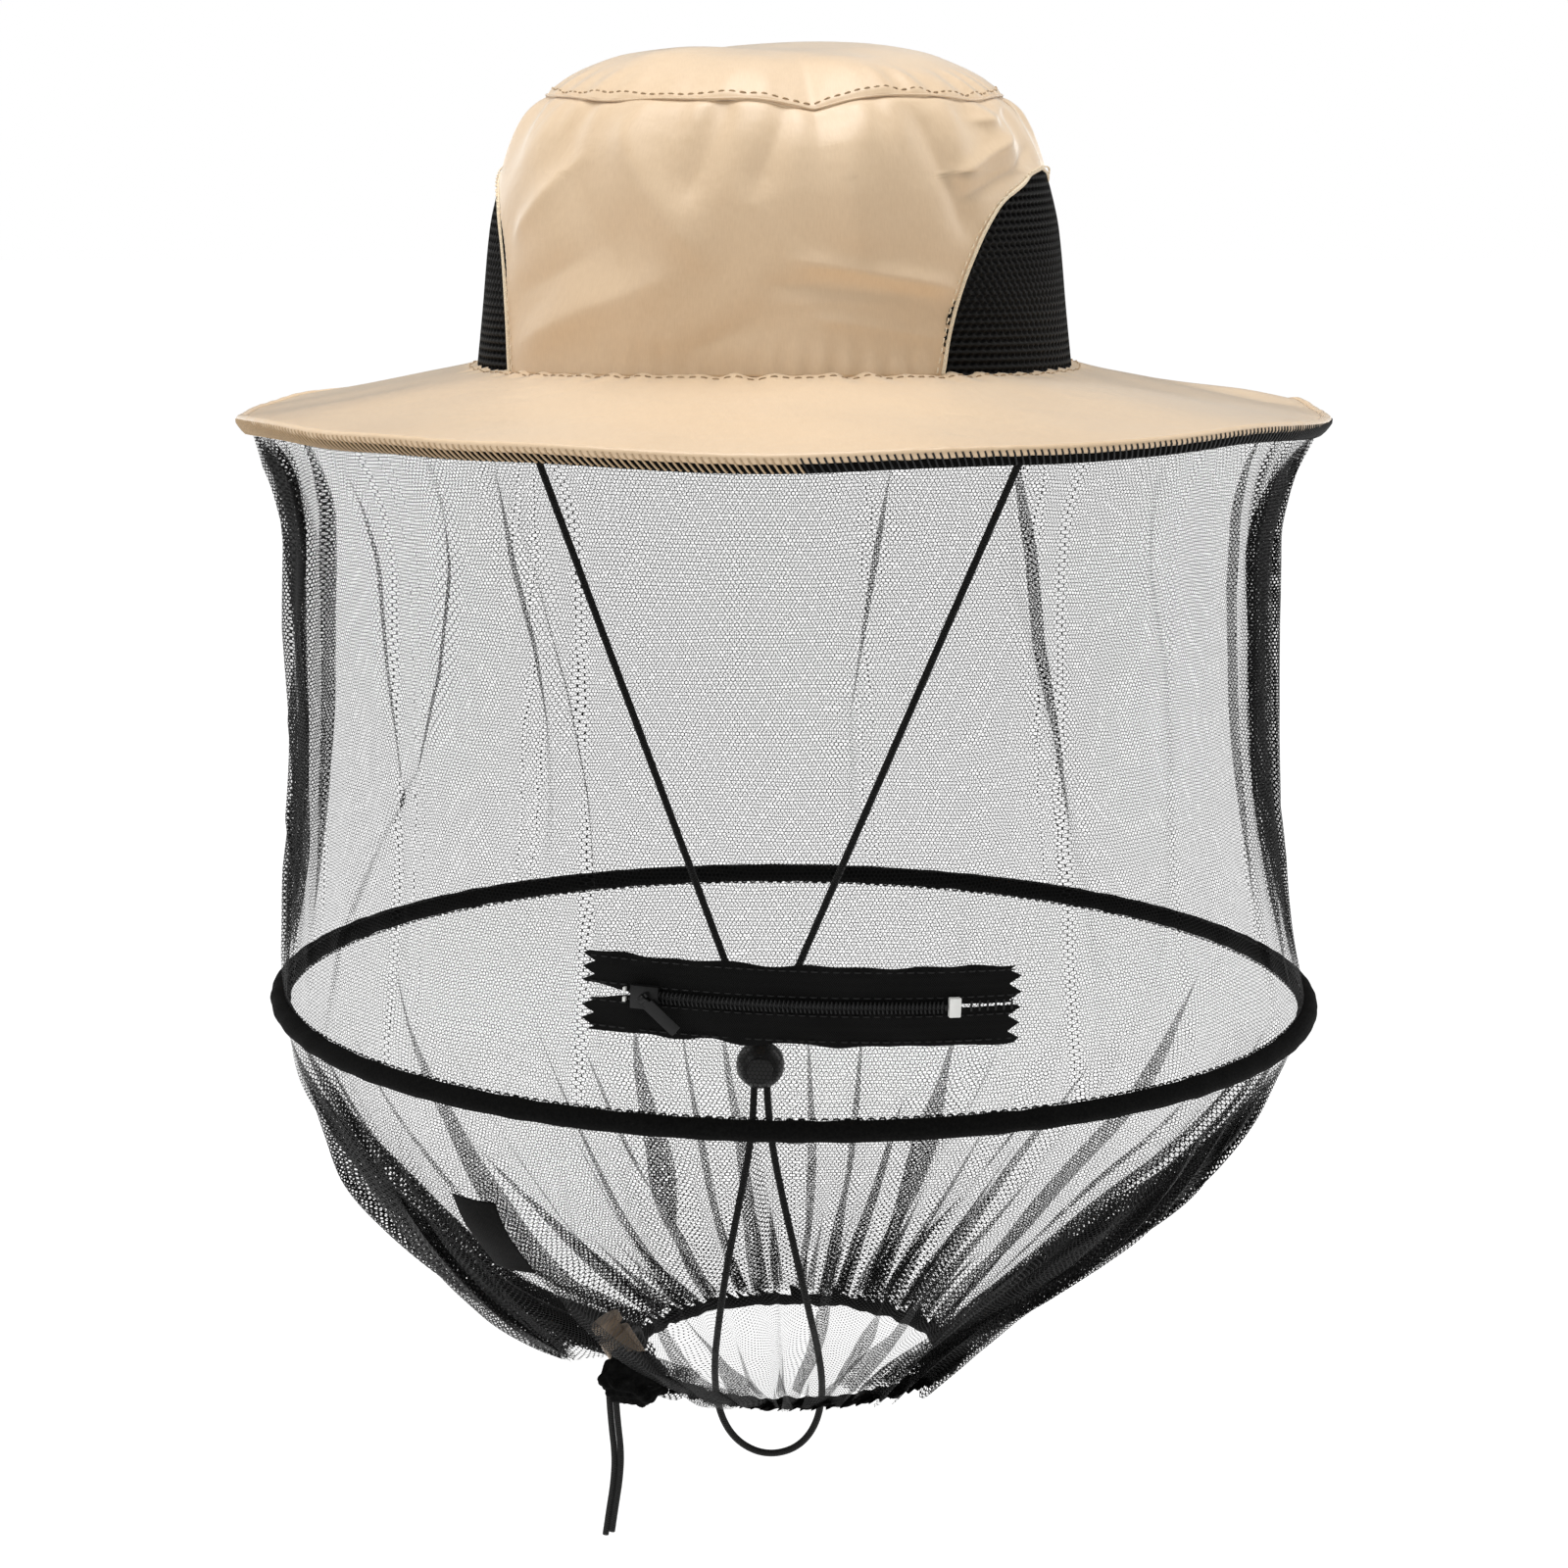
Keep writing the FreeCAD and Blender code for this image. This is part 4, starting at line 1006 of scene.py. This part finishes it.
deg = np.linspace(-180, 180, 540, endpoint=False)
ring = around(deg, 182.0, HOOP + lean(deg), cx=6.9)
fat = 3.5 + 0.14 * ring_waves(np.radians(deg), 0, 51, 30, 90, 0, 7)
o = tube("hoop_casing", ring, 3.5 * MM, CASING, sides=18, closed=True, radii=fat * MM)
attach(o, "veil_hoop")
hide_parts("hoop_sleeve")
for n_, (r_, z_) in (("upper", (180.6, HOOP + 3.3)), ("lower", (180.6, HOOP - 3.3))):
    o = stitch_row("hoop_stitch_" + n_, around(deg, r_ - 0.3, z_ + lean(deg), cx=6.9), BLACKTHREAD, 2.4 * MM, 1.2 * MM, 0.3 * MM, around(deg + 180, 700.0, 700.0 if n_ == "upper" else -700.0))
    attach(o, "veil_hoop")
for node, mat in (("hoop_wire", STEEL), ("hoop_ferrule", BRASS)):
    NODES[node].data.materials.clear()
    NODES[node].data.materials.append(mat)

# ------------------------------------------------------------------ nets
def drawn_map(obj, amount):
    """A second map that says how far the cloth is drawn together at each vertex, 0..1."""
    me = obj.data
    layer = me.uv_layers.new(name="drawn")
    index = np.zeros(len(me.loops), np.int32)
    me.loops.foreach_get("vertex_index", index)
    value = np.asarray(amount, np.float32).ravel()[index]
    layer.data.foreach_set("uv", np.stack([value, 0 * value], -1).astype(np.float32).ravel())
    me.uv_layers["cloth"].active = True
    me.uv_layers["cloth"].active_render = True


def s_fold(x):
    return -x * np.exp(-x * x / 2) * 1.65


def fold_sum(D, folds, t, per_deg):
    """Tangential shift in mm and radial offset in mm of a list of folds. A fold is
    (angles, widths, amounts, depth), each a list over t = 0..1; the angle is in degrees."""
    shift, out, mask = 0 * D, 0 * D, 0 * D
    for angles, widths, amounts, depth in folds:
        k = np.linspace(0, 1, len(angles))
        c = np.interp(t, k, angles)
        w = np.interp(t, np.linspace(0, 1, len(widths)), widths)
        a = pchip(t, np.linspace(0, 1, len(amounts)), amounts)
        x = ((D - c + 180) % 360 - 180) * per_deg / w
        far = np.exp(-((x / 3.2) ** 6))
        shift = shift + a * s_fold(x) * far
        sharp = np.clip(a / np.maximum(w, 0.1), 0, 1.6)
        out = out + depth * np.tanh(x * 1.2) * np.exp(-((x / 1.9) ** 2)) * sharp
        mask = np.maximum(mask, sharp / 1.6 * np.exp(-((x / 0.85) ** 4)))
    return shift, out, mask


UPPER = [(-20.6, 183.0), (-24, 181.4), (-31, 177.6), (-42, 173.2), (-60, 170.2), (-120, 170.8), (-165, 174.2), (-195, 177.6), (-210, 180.0), (-222.4, 181.4)]
rows = np.concatenate([np.linspace(0, 0.08, 12), np.linspace(0.08, 1, 90)[1:]])
deg = np.linspace(-180, 180, 1500, endpoint=False)
D, T = np.meshgrid(deg, rows, indexing="ij")
Z = -20.6 + T * (HOOP + 3.0 + 20.6)
zs, rs = [-z for z, r in UPPER], [r for z, r in UPPER]
R = pchip(-Z, zs, rs)
mid = np.sin(math.pi * np.clip(T, 0, 1)) ** 0.6
upper_folds = [
    ([-37, -38, -40, -44, -52, -58, -60], [1.8, 2.0, 2.4, 2.6, 2.6, 2.4, 2.0], [1.2, 4.4, 4.8, 4.4, 3.8, 2.8, 0.4], -2.0),
    ([40, 42, 45, 46, 45, 42, 40], [2.0, 2.2, 2.4, 2.6, 2.6, 2.4, 2.0], [0.2, 1.6, 1.4, 0.9, 0.6, 0.3, 0.0], 1.4),
    ([-52, -50, -49, -47, -46, -45, -44], [2.0, 2.2, 2.4, 2.4, 2.4, 2.4, 2.0], [0.2, 2.0, 1.8, 1.4, 0.8, 0.4, 0.0], 1.4),
    ([-30, -27, -24, -22, -21, -20, -20], [2.0, 2.4, 2.6, 2.6, 2.4, 2.2, 2.0], [0.2, 1.4, 2.0, 1.8, 1.2, 0.6, 0.0], 1.2),
    ([22, 24, 27, 30, 32, 33, 33], [2.0, 2.6, 3.0, 3.0, 2.6, 2.2, 2.0], [0.1, 0.8, 1.8, 1.4, 0.9, 0.4, 0.0], 1.2),
    ([150, 148, 146, 145, 143, 142, 142], [3, 4, 5, 5, 4, 3, 3], [0.4, 4.0, 6.0, 6.0, 4.0, 2.0, 0.0], 2.4),
    ([-140, -139, -141, -144, -146, -147, -147], [3, 4, 5, 5, 4, 3, 3], [0.4, 4.0, 6.5, 6.0, 4.0, 2.0, 0.0], 2.4),
    ([165, 166, 168, 170, 172, 172, 172], [2.4, 3, 3, 3, 3, 3, 3], [0.2, 2.0, 3.5, 3.0, 2.0, 1.0, 0.0], 2.0),
]
pick = np.random.default_rng(311)
for c0, level in ((-66, 0.55), (-71, 0.85), (-75.5, 1), (-80, 1.15), (-84.5, 1.2), (-89, 1.2), (-93.5, 1.1), (-98, 0.9), (-104, 0.6),
                  (67, 0.35), (72, 0.6), (77, 0.85), (81.5, 1.0), (86, 1.15), (90.5, 1.15), (95, 1.0), (100, 0.7), (106, 0.5)):
    wander = pick.uniform(-1, 1, 7).cumsum() * 0.9
    wide = 6.2 + pick.uniform(-1.2, 1.6)
    amount = 14.5 * level * (1 + 0.2 * pick.uniform(-1, 1))
    low = pick.uniform(0.25, 0.7)
    upper_folds.append((list(c0 + wander), [3.0, wide * 0.75, wide, wide, wide * 0.9, wide * 0.7, 3.0],
                        [0.4, amount * 0.75, amount, amount, amount * (0.5 + 0.5 * low), amount * low * 0.6, 0.0], pick.choice([-1, 1]) * pick.uniform(2.0, 3.4)))
shift, out, folded = fold_sum(D, upper_folds, T, 3.05)
rad = np.radians(D)
out = out + ring_waves(rad, Z, 61, 3, 9, 0.012, 6) * 1.6 * mid
side = np.exp(-(((np.abs(D) - 84) / 26) ** 2))
out = out + np.where(D > 0, -5.0, 2.2) * side * mid + ring_waves(rad, Z, 62, 18, 44, 0.02, 8) * (0.35 + 1.3 * side) * mid
shift = shift + ring_waves(rad, Z, 63, 9, 26, 0.02, 7) * (0.8 + 1.8 * side) * mid
tuck = smooth((0.10 - T) / 0.10)
out = out + ring_waves(rad, 0, 64, 70, 130, 0, 8) * 0.55 * tuck * smooth(T / 0.012)
P = around(D + np.degrees(shift / R), R + out, Z, cx=5.1)
P[:, :, 0] += (-1.4 + 3.2 * T) * MM
P[:, :, 2] += lean(D) * smooth((T - 0.3) / 0.7) * MM
rim_z = np.interp(D[:, 0], base_ring, rim[:, 2] - 5.0, period=360)
P[:, :, 2] += ((rim_z + 20.6)[:, None] * (1 - smooth(T / 0.30))) * MM
# behind the closed zip the net lies back, whole, so nothing gapes when the hoop lifts
fx, fy, fz = P[:, :, 0] / MM - 6.9, P[:, :, 1] / MM, P[:, :, 2] / MM
turned = np.degrees(np.arctan2(fx, -fy))
near = smooth((22.4 - np.abs(turned - 0.6)) / 1.6) * smooth((8.5 - np.abs(fz + 181.0 + fx * math.tan(math.radians(2.2)))) / 2.5) * (fy < -150)
sunk = 1 - near * (1 - np.minimum(1, 181.3 / np.maximum(np.hypot(fx, fy), 1)))
P[:, :, 0] = (fx * sunk + 6.9) * MM
P[:, :, 1] = fy * sunk * MM
run = np.concatenate([[0], np.cumsum(np.linalg.norm(np.diff(P[:, len(rows) // 2], axis=0), axis=1))])
run = run + (np.linalg.norm(P[0, 50] - P[-1, 50]) / 2)
width = run[-1] + np.linalg.norm(P[0, len(rows) // 2] - P[-1, len(rows) // 2])
U = np.repeat(run[:, None], len(rows), 1)
V = -Z * MM
net = grid("veil_upper_tulle", P, TULLE, np.stack([U, V], -1), wrap=True)
streak = ring_waves(rad, Z, 66, 40, 120, 0.015, 7)
drawn_map(net, np.clip(np.exp(-(((np.abs(D) - 86) / 14) ** 4)) * (0.85 + 0.45 * streak) * smooth((T - 0.01) / 0.1) * smooth((1.06 - T) / 0.3) + 0.55 * folded, 0, 1))
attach(net, "hat")
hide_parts("veil_net_upper")
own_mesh(net)

# the lower net, drawn in to the neck
LEFT = [(181.6, HOOP - 3.0), (180.2, -232), (177.2, -245), (169, -265), (158.6, -283), (148, -297), (136.6, -310.5), (124.6, -323), (112.4, -334.5), (98, -344), (84, -351), (72, -356), (60.0, -359.2)]
RIGHT = [(181.6, HOOP - 3.0), (178.5, -231), (173, -243), (164, -260), (151.5, -276), (137.5, -290), (123, -302), (110, -313), (98, -324), (87, -334), (77, -343), (68, -351), (60.0, -358.8)]
lp, rp = np.array(LEFT), np.array(RIGHT)
dist = np.concatenate([[0], np.cumsum(np.hypot(*np.diff(lp, axis=0).T))])
rows = np.concatenate([np.linspace(0, 0.75, 84), np.linspace(0.75, 1, 44)[1:]])
deg = np.linspace(-180, 180, 2200, endpoint=False)
D, T = np.meshgrid(deg, rows, indexing="ij")
half = smooth((np.sin(np.radians(D)) + 1.0) / 2.0)
RL, ZL = pchip(T * dist[-1], dist, lp[:, 0]), pchip(T * dist[-1], dist, lp[:, 1])
RR, ZR = pchip(T * dist[-1], dist, rp[:, 0]), pchip(T * dist[-1], dist, rp[:, 1])
R, Z = RL * (1 - half) + RR * half, ZL * (1 - half) + ZR * half
dR = np.gradient(R[0], T[0] * dist[-1])
dZ = np.gradient(Z[0], T[0] * dist[-1])
nr, nz = -dZ, dR
ln = np.hypot(nr, nz)
nr, nz = nr / ln, nz / ln
rng = np.random.default_rng(77)
rad = np.radians(D)


def pleats(seed, count, jitter):
    """Seeded uneven pleats: a phase that runs count times round, its pace changing as it goes."""
    r = np.random.default_rng(seed)
    warp = sum(r.uniform(-1, 1) * np.sin(k * rad + r.uniform(0, 6.28)) / k for k in range(1, 14))
    return count * rad + warp * jitter


amp_big = pchip(R, [60, 84, 112, 138, 160, 176, 181.6], [2.6, 4.6, 4.6, 3.2, 1.8, 0.8, 0.0])
amp_fine = pchip(R, [60, 72, 84, 98, 112, 138, 181.6], [3.6, 3.0, 2.0, 1.1, 0.5, 0.1, 0.0])
side = np.exp(-(((np.abs(D) - 72) / 27) ** 4))
lane = 0.60 + 0.45 * ring_waves(rad, 0, 81, 2, 9, 0, 5)
ph = pleats(82, 26, 7.5)
wave = np.sin(ph) + 0.35 * np.sin(2 * ph + 0.8)
wave = np.sign(wave) * np.abs(wave) ** 0.8
ph2 = pleats(83, 68, 16)
out = amp_big * np.clip(lane, 0.1, 1.3) * wave + amp_fine * np.sin(ph2)
shift = amp_big * 0.9 * np.clip(lane, 0.1, 1.3) * np.sin(2 * ph) + amp_fine * 0.7 * np.sin(2 * ph2 + 0.6)
lower_folds = [
    ([-74, -72, -69, -66, -62, -58], [4.0, 6.0, 8.0, 7.0, 4.5, 3.0], [0.0, 7.0, 14.0, 14.0, 9.0, 4.0], 3.0),
    ([-58, -56, -53, -50, -46, -42], [3.0, 5.0, 6.0, 5.0, 3.5, 2.6], [0.0, 5.0, 9.0, 10.0, 7.0, 3.5], -2.6),
    ([66, 66, 64, 62, 58, 54], [4.0, 6.0, 8.0, 8.0, 5.0, 3.0], [0.0, 6.0, 14.0, 15.0, 10.0, 4.0], -3.2),
    ([50, 50, 48, 46, 44, 42], [3.0, 4.0, 5.5, 5.5, 4.0, 2.6], [0.0, 4.0, 8.0, 10.0, 7.0, 3.5], 2.8),
    ([82, 81, 80, 79, 78, 76], [3.0, 4.0, 6.0, 6.5, 5.0, 3.2], [0.0, 3.0, 8.0, 11.0, 9.0, 5.0], 2.8),
    ([118, 118, 116, 115, 114, 112], [3, 5, 6, 6, 4, 3], [0.0, 4.0, 9.0, 11.0, 8.0, 4.0], 2.6),
    ([158, 156, 155, 153, 152, 150], [3, 4, 5, 5, 4, 3], [0.0, 3.0, 6.0, 9.0, 7.0, 3.0], -2.4),
    ([-160, -158, -156, -155, -152, -150], [3, 4, 5, 5, 4, 3], [0.0, 3.0, 7.0, 9.0, 7.0, 3.0], 2.4),
    ([-122, -120, -119, -117, -115, -112], [3, 5, 6, 6, 4, 3], [0.0, 4.0, 9.0, 11.0, 8.0, 4.0], -2.6),
]
ph3 = pleats(86, 58, 10)
grow = side * smooth((T - 0.02) / 0.22)
out = out + 2.6 * grow * np.sin(ph3)
shift = shift + 4.2 * grow * np.sin(2 * ph3 + 0.5)
for k in range(46):
    c0 = -180 + 360 * (k + pick.uniform(0.1, 0.9)) / 46
    lean_ = pick.uniform(-5, 5)
    far = pick.uniform(0.0, 0.55)
    top_ = pick.uniform(0.4, 1.0)
    w0 = pick.uniform(1.5, 2.6)
    lower_folds.append(([c0 + lean_ * (1 - q) for q in (0, 0.2, 0.4, 0.6, 0.8, 1.0)], [w0 * 0.8, w0, w0 * 1.1, w0 * 1.1, w0, w0 * 0.8],
                        [0.0, 0.0 if far > 0.2 else 1.4 * top_, 3.0 * top_ if far < 0.4 else 0.4, 4.0 * top_, 3.8 * top_, 1.6], pick.choice([-1, 1]) * pick.uniform(1.0, 1.8)))
s2, o2, folded = fold_sum(D, lower_folds, T, R * math.pi / 180)
shift, out = shift + s2, out + o2
out = out - 0.8 * (amp_big * np.clip(lane, 0.1, 1.3) + 0.6 * amp_fine) - 2.0 * grow
out = out + ring_waves(rad, T, 84, 4, 14, 2.0, 6) * 1.3 * np.sin(math.pi * T) ** 0.8
edge = smooth(T / 0.05)
shift, out = shift * edge, out * edge
cx = 6.9 - 1.7 * smooth((T - 0.55) / 0.45)
a = rad + shift / R
Z = Z + lean(D) * (1 - T) + 2.5 * np.clip(np.cos(rad), 0, 1) * bump(T, 0.78, 0.2)
P = np.stack([cx + (R + out * nr) * np.sin(a), -(R + out * nr) * np.cos(a), Z + out * nz * 0.9], -1) * MM
cell = 1.15 / len(deg)
U = np.repeat((np.arange(len(deg)) * cell)[:, None], len(rows), 1)
V = np.repeat((T[0] * dist[-1] * MM)[None, :], len(deg), 0)
net = grid("veil_lower_tulle", P, TULLE, np.stack([U, V], -1), wrap=True)
drawn_map(net, np.clip(0.02 + 0.24 * smooth((T - 0.35) / 0.65) + 0.62 * grow * (1 + 0.35 * ring_waves(rad, T, 67, 30, 90, 1.0, 6)) + 0.30 * folded, 0, 1))
bm = bmesh.new()
bm.from_mesh(net.data)
kill = []
for f in bm.faces:
    c = f.calc_center_median() / MM
    if -84 < c.x < -44 and -90 < c.y < -14 and c.z < -324 and math.hypot((c.x + 59) / 16.0, (c.y + 48) / 34.0) < 1:
        kill.append(f)
bmesh.ops.delete(bm, geom=kill, context="FACES")
bm.to_mesh(net.data)
bm.free()
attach(net, "veil_hoop")
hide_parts("veil_net_lower")
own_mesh(net)

# ------------------------------------------------------------------ the neck hem
deg = np.linspace(-180, 180, 900, endpoint=False)
rad1 = np.radians(deg)
wob = ring_waves(rad1, 0, 95, 16, 60, 0, 9)
ring = around(deg, 55.0 + 0.6 * ring_waves(rad1, 0, 97, 6, 24, 0, 6), -358.5 + 0.6 * ring_waves(rad1, 0, 98, 6, 30, 0, 6), cx=5.2)
fat = 2.05 + 0.40 * wob
o = tube("neck_casing", ring, 2.6 * MM, CASING, sides=12, closed=True, radii=fat * MM)
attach(o, "neck")
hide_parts("neck_hem")
# the hem's frill, which stands in small gathers round the casing
lev = np.linspace(0, 1, 7)
D, L = np.meshgrid(deg, lev, indexing="ij")
ra = np.radians(D)
heap = 1 + 1.9 * bump((D - 66 + 180) % 360 - 180, 0, 17) + 1.3 * bump((D + 58 + 180) % 360 - 180, 0, 15) + 0.25 * ring_waves(ra, 0, 99, 8, 30, 0, 5)
gather = np.sin(78 * ra + 5 * np.sin(3 * ra) + 3 * np.sin(7 * ra + 1)) * (0.5 + 1.5 * L) * heap * 0.8
Pf = np.stack([5.2 + (57.0 + 3.2 * L * heap + gather * 0.5) * np.sin(ra + 0.018 * gather), -(57.0 + 3.2 * L * heap + gather * 0.5) * np.cos(ra + 0.018 * gather),
               -358.8 + 2.4 * L * (heap - 0.7) + gather], -1) * MM
o = grid("neck_frill", Pf, CASING, np.stack([ra * 0.16, L * 0.005], -1), wrap=True)
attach(o, "neck")
NODES["neck_drawcord"].data.materials.clear()
NODES["neck_drawcord"].data.materials.append(CORD)

# the tab where the drawcord comes out: a crumpled loop of the hem's cloth
bm = bmesh.new()
bmesh.ops.create_icosphere(bm, subdivisions=5, radius=1.0)
r = np.random.default_rng(5)
lo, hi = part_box("neck_cord_tab")
ctr, ext = (Vector(lo) + Vector(hi)) / 2, (Vector(hi) - Vector(lo)) / 2
for v in bm.verts:
    n = v.co.copy()
    p = np.array(n)
    w = 0.0
    for k, (fx, fy, fz, ph_) in enumerate([(5, 3, 7, 0.3), (9, -6, 4, 1.9), (-7, 11, 8, 4.0), (13, 9, -12, 2.2), (3, -14, 15, 5.1)]):
        w += math.sin(fx * p[0] + fy * p[1] + fz * p[2] + ph_) * (0.5 if k < 2 else 0.28)
    v.co = Vector((ctr.x + 0.0050 + n.x * ext.x * (1.22 + 0.14 * w), ctr.y + 0.003 + n.y * (ext.y * 2.6 + 2.0 * MM) * (1 + 0.22 * w), ctr.z - 0.001 + n.z * ext.z * (0.92 + 0.12 * w)))
me = bpy.data.meshes.new("neck_tab_cloth")
uvl = bm.loops.layers.uv.new("cloth")
for f in bm.faces:
    f.smooth = True
    for l in f.loops:
        l[uvl].uv = (l.vert.co.x, l.vert.co.z)
bm.to_mesh(me)
bm.free()
me.materials.append(CASING)
o = link(bpy.data.objects.new("neck_tab_cloth", me))
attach(o, "neck")
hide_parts("neck_cord_tab")

# the care patch on the lower net, blank
u = np.linspace(0, 1, 14)
v = np.linspace(0, 1, 30)
A, B = np.meshgrid(u, v, indexing="ij")
DD = -125.2 + 90 + (A - 0.5) * 5.8 * 1.0 + 1.2 * (B - 0.5)
lo_, hi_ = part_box("care_patch")
ZZ = -255 - B * 27.5
RR_ = np.interp(-ZZ, [255, 282.5], [176.8, 161.9]) + 1.2 * np.sin(math.pi * A) + 1.6 * np.sin(math.pi * B * 1.3)
P = around(DD, RR_, ZZ, cx=6.9)
o = grid("care_patch_cloth", P, BLACK, np.stack([A * 0.018, B * 0.03], -1))
thicken(o, 0.35 * MM, 0.0)
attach(o, "veil_hoop")
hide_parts("care_patch")
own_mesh(o)

# ------------------------------------------------------------------ the zip
TILT = Matrix.Translation((0.0069, 0, -0.181)) @ Matrix.Rotation(math.radians(2.2), 4, "Y")


def on_zip(deg, r, w):
    """A point on the zip's own cylinder: deg from the front, r and w (height) in mm."""
    a = np.radians(deg)
    p = np.stack([r * np.sin(a) + 0 * w, -r * np.cos(a) + 0 * w, w + 0 * a], -1) * MM
    m = np.array(TILT)
    return p @ m[:3, :3].T + m[:3, 3]


def pinked(w):
    """0..1 saw of the pinking shears across the tape."""
    return 2 * np.abs((w / 5.0 + 0.25) % 1 - 0.5)


for word, lo_w, hi_w in (("lower", -12.5, -0.55), ("upper", 0.55, 12.5)):
    w = np.linspace(lo_w, hi_w, 49)
    u = np.linspace(0, 1, 170)
    Uu, W = np.meshgrid(u, w, indexing="ij")
    start = -21.3 + 1.35 * pinked(W)
    stop = 22.6 - 1.35 * pinked(W + 2.5)
    TH = start + (stop - start) * Uu
    gape = 1.9 * smooth((-16.2 - TH) / 4.0)
    WW = W + np.sign(W) * gape * (1 - np.abs(W) / 12.5)
    edge = smooth((np.abs(W) - 8) / 4.5)
    rr_ = 182.0 + 0.45 * waves(TH * 3.18, W, 101 if lo_w < 0 else 102, 6, 0.16, 0.20) + 0.7 * edge * ring_waves(np.radians(TH), 0, 103 if lo_w < 0 else 104, 40, 90, 0, 5)
    WW = WW + 0.5 * edge * ring_waves(np.radians(TH), 0, 105 if lo_w < 0 else 106, 24, 60, 0, 5)
    o = grid("zip_tape_cloth_" + word, on_zip(TH, rr_, WW), TAPE, np.stack([np.radians(TH) * 0.182, W * MM], -1))
    thicken(o, 0.55 * MM, 0.0)
    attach(o, "veil_hoop")
    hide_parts("zip_tape_" + word)
    sgn = 1 if lo_w > 0 else -1
    turns = 74
    k = np.linspace(0, turns, turns * 14)
    th = -16.2 + (14.6 + 16.2) * k / turns
    helix = on_zip(th + 0.0, 183.25 + 0.72 * np.cos(2 * math.pi * k), sgn * (0.80 + 0.95 * np.sin(2 * math.pi * k)))
    o = tube("zip_coil_teeth_" + word, helix, 0.30 * MM, COILMAT, sides=6)
    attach(o, "veil_hoop")
    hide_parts("zip_coil_" + word)
    for off in (2.9, 11.0):
        th = np.linspace(-20.6, 21.9, 160)
        path = on_zip(th, 182.45 + 0 * th, sgn * (off + 0 * th))
        nn = np.stack([np.sin(np.radians(th)), -np.cos(np.radians(th)), 0 * th], -1)
        o = stitch_row("zip_stitch_%s_%d" % (word, off), path, BLACKTHREAD, 2.3 * MM, 1.0 * MM, 0.26 * MM, nn, closed=False)
        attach(o, "veil_hoop")

th = np.linspace(-15.9, 15.0, 120)
o = tube("zip_chain_core", on_zip(th, 182.5 + 0 * th, 0 * th), 0.78 * MM, COILMAT, sides=8)
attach(o, "veil_hoop")
bevelled("zip_slider", ENAMEL, "slider", 0.3 * MM, 3)
bevelled("zip_pull", ENAMEL, "pull", 0.3 * MM, 3)
bevelled("zip_bottom_stop", WHITE, "veil_hoop", 0.4 * MM, 3)
bevelled("zip_top_stops", WHITE, "veil_hoop", 0.2 * MM, 3)
bevelled("zip_end_stitches", BLACKTHREAD, "veil_hoop", 0.15 * MM, 2)

# ------------------------------------------------------------------ locks
bevelled("neck_lock_barrel", LOCKTAN, "neck_lock", 0.5 * MM, 4)
bevelled("neck_lock_plunger", LOCKTAN, "neck_plunger", 0.5 * MM, 4)
bevelled("chin_lock_ball", PLASTIC, "chin_lock", 0.3 * MM, 3)
bevelled("chin_lock_button", PLASTIC, "chin_button", 0.5 * MM, 4)
for node in ("neck_lock_spring", "chin_lock_spring"):
    NODES[node].data.materials.clear()
    NODES[node].data.materials.append(STEEL)

# ------------------------------------------------------------------ studio
me = bpy.data.meshes.new("floor")
S_ = 12.0
me.from_pydata([(-S_, -S_, -0.62), (S_, -S_, -0.62), (S_, S_, -0.62), (-S_, S_, -0.62)], [], [(0, 1, 2, 3)])
floor_mat = Nodes("floor", (0.24, 0.24, 0.24), 0.9, 0.0)
floor_mat.set(Emission_Color=(1, 1, 1, 1), Emission_Strength=0.95)
me.materials.append(floor_mat.mat)
floor = link(bpy.data.objects.new("floor", me))

world = bpy.data.worlds.new("studio")
world.use_nodes = True
SCENE.world = world
wt = world.node_tree
bg = wt.nodes["Background"]
bg.inputs["Color"].default_value = (1, 1, 1, 1)
path_ = wt.nodes.new("ShaderNodeLightPath")
mixn = wt.nodes.new("ShaderNodeMapRange")
mixn.inputs["To Min"].default_value = 0.30
mixn.inputs["To Max"].default_value = 1.0
wt.links.new(path_.outputs["Is Camera Ray"], mixn.inputs["Value"])
wt.links.new(mixn.outputs[0], bg.inputs["Strength"])


def area(name, at, aim, size, power):
    data = bpy.data.lights.new(name, "AREA")
    data.shape = "RECTANGLE"
    data.size, data.size_y = size
    data.energy = power
    o = link(bpy.data.objects.new(name, data))
    o.location = at
    o.rotation_euler = (Vector(aim) - Vector(at)).to_track_quat("-Z", "Y").to_euler()
    return o


area("top", (-0.1, 0.1, 1.9), (0, 0, 0), (1.3, 1.0), 39)
area("key", (-1.9, -1.0, 0.9), (0, 0, 0.02), (0.5, 0.9), 8)
area("front", (0.3, -1.9, 1.2), (0, 0, 0.0), (0.6, 0.5), 4)
area("rim_left", (-1.3, 0.9, 0.7), (0, 0, 0), (0.5, 1.2), 4)
area("rim_right", (1.5, 0.6, 0.6), (0, 0, 0), (0.5, 1.2), 6)
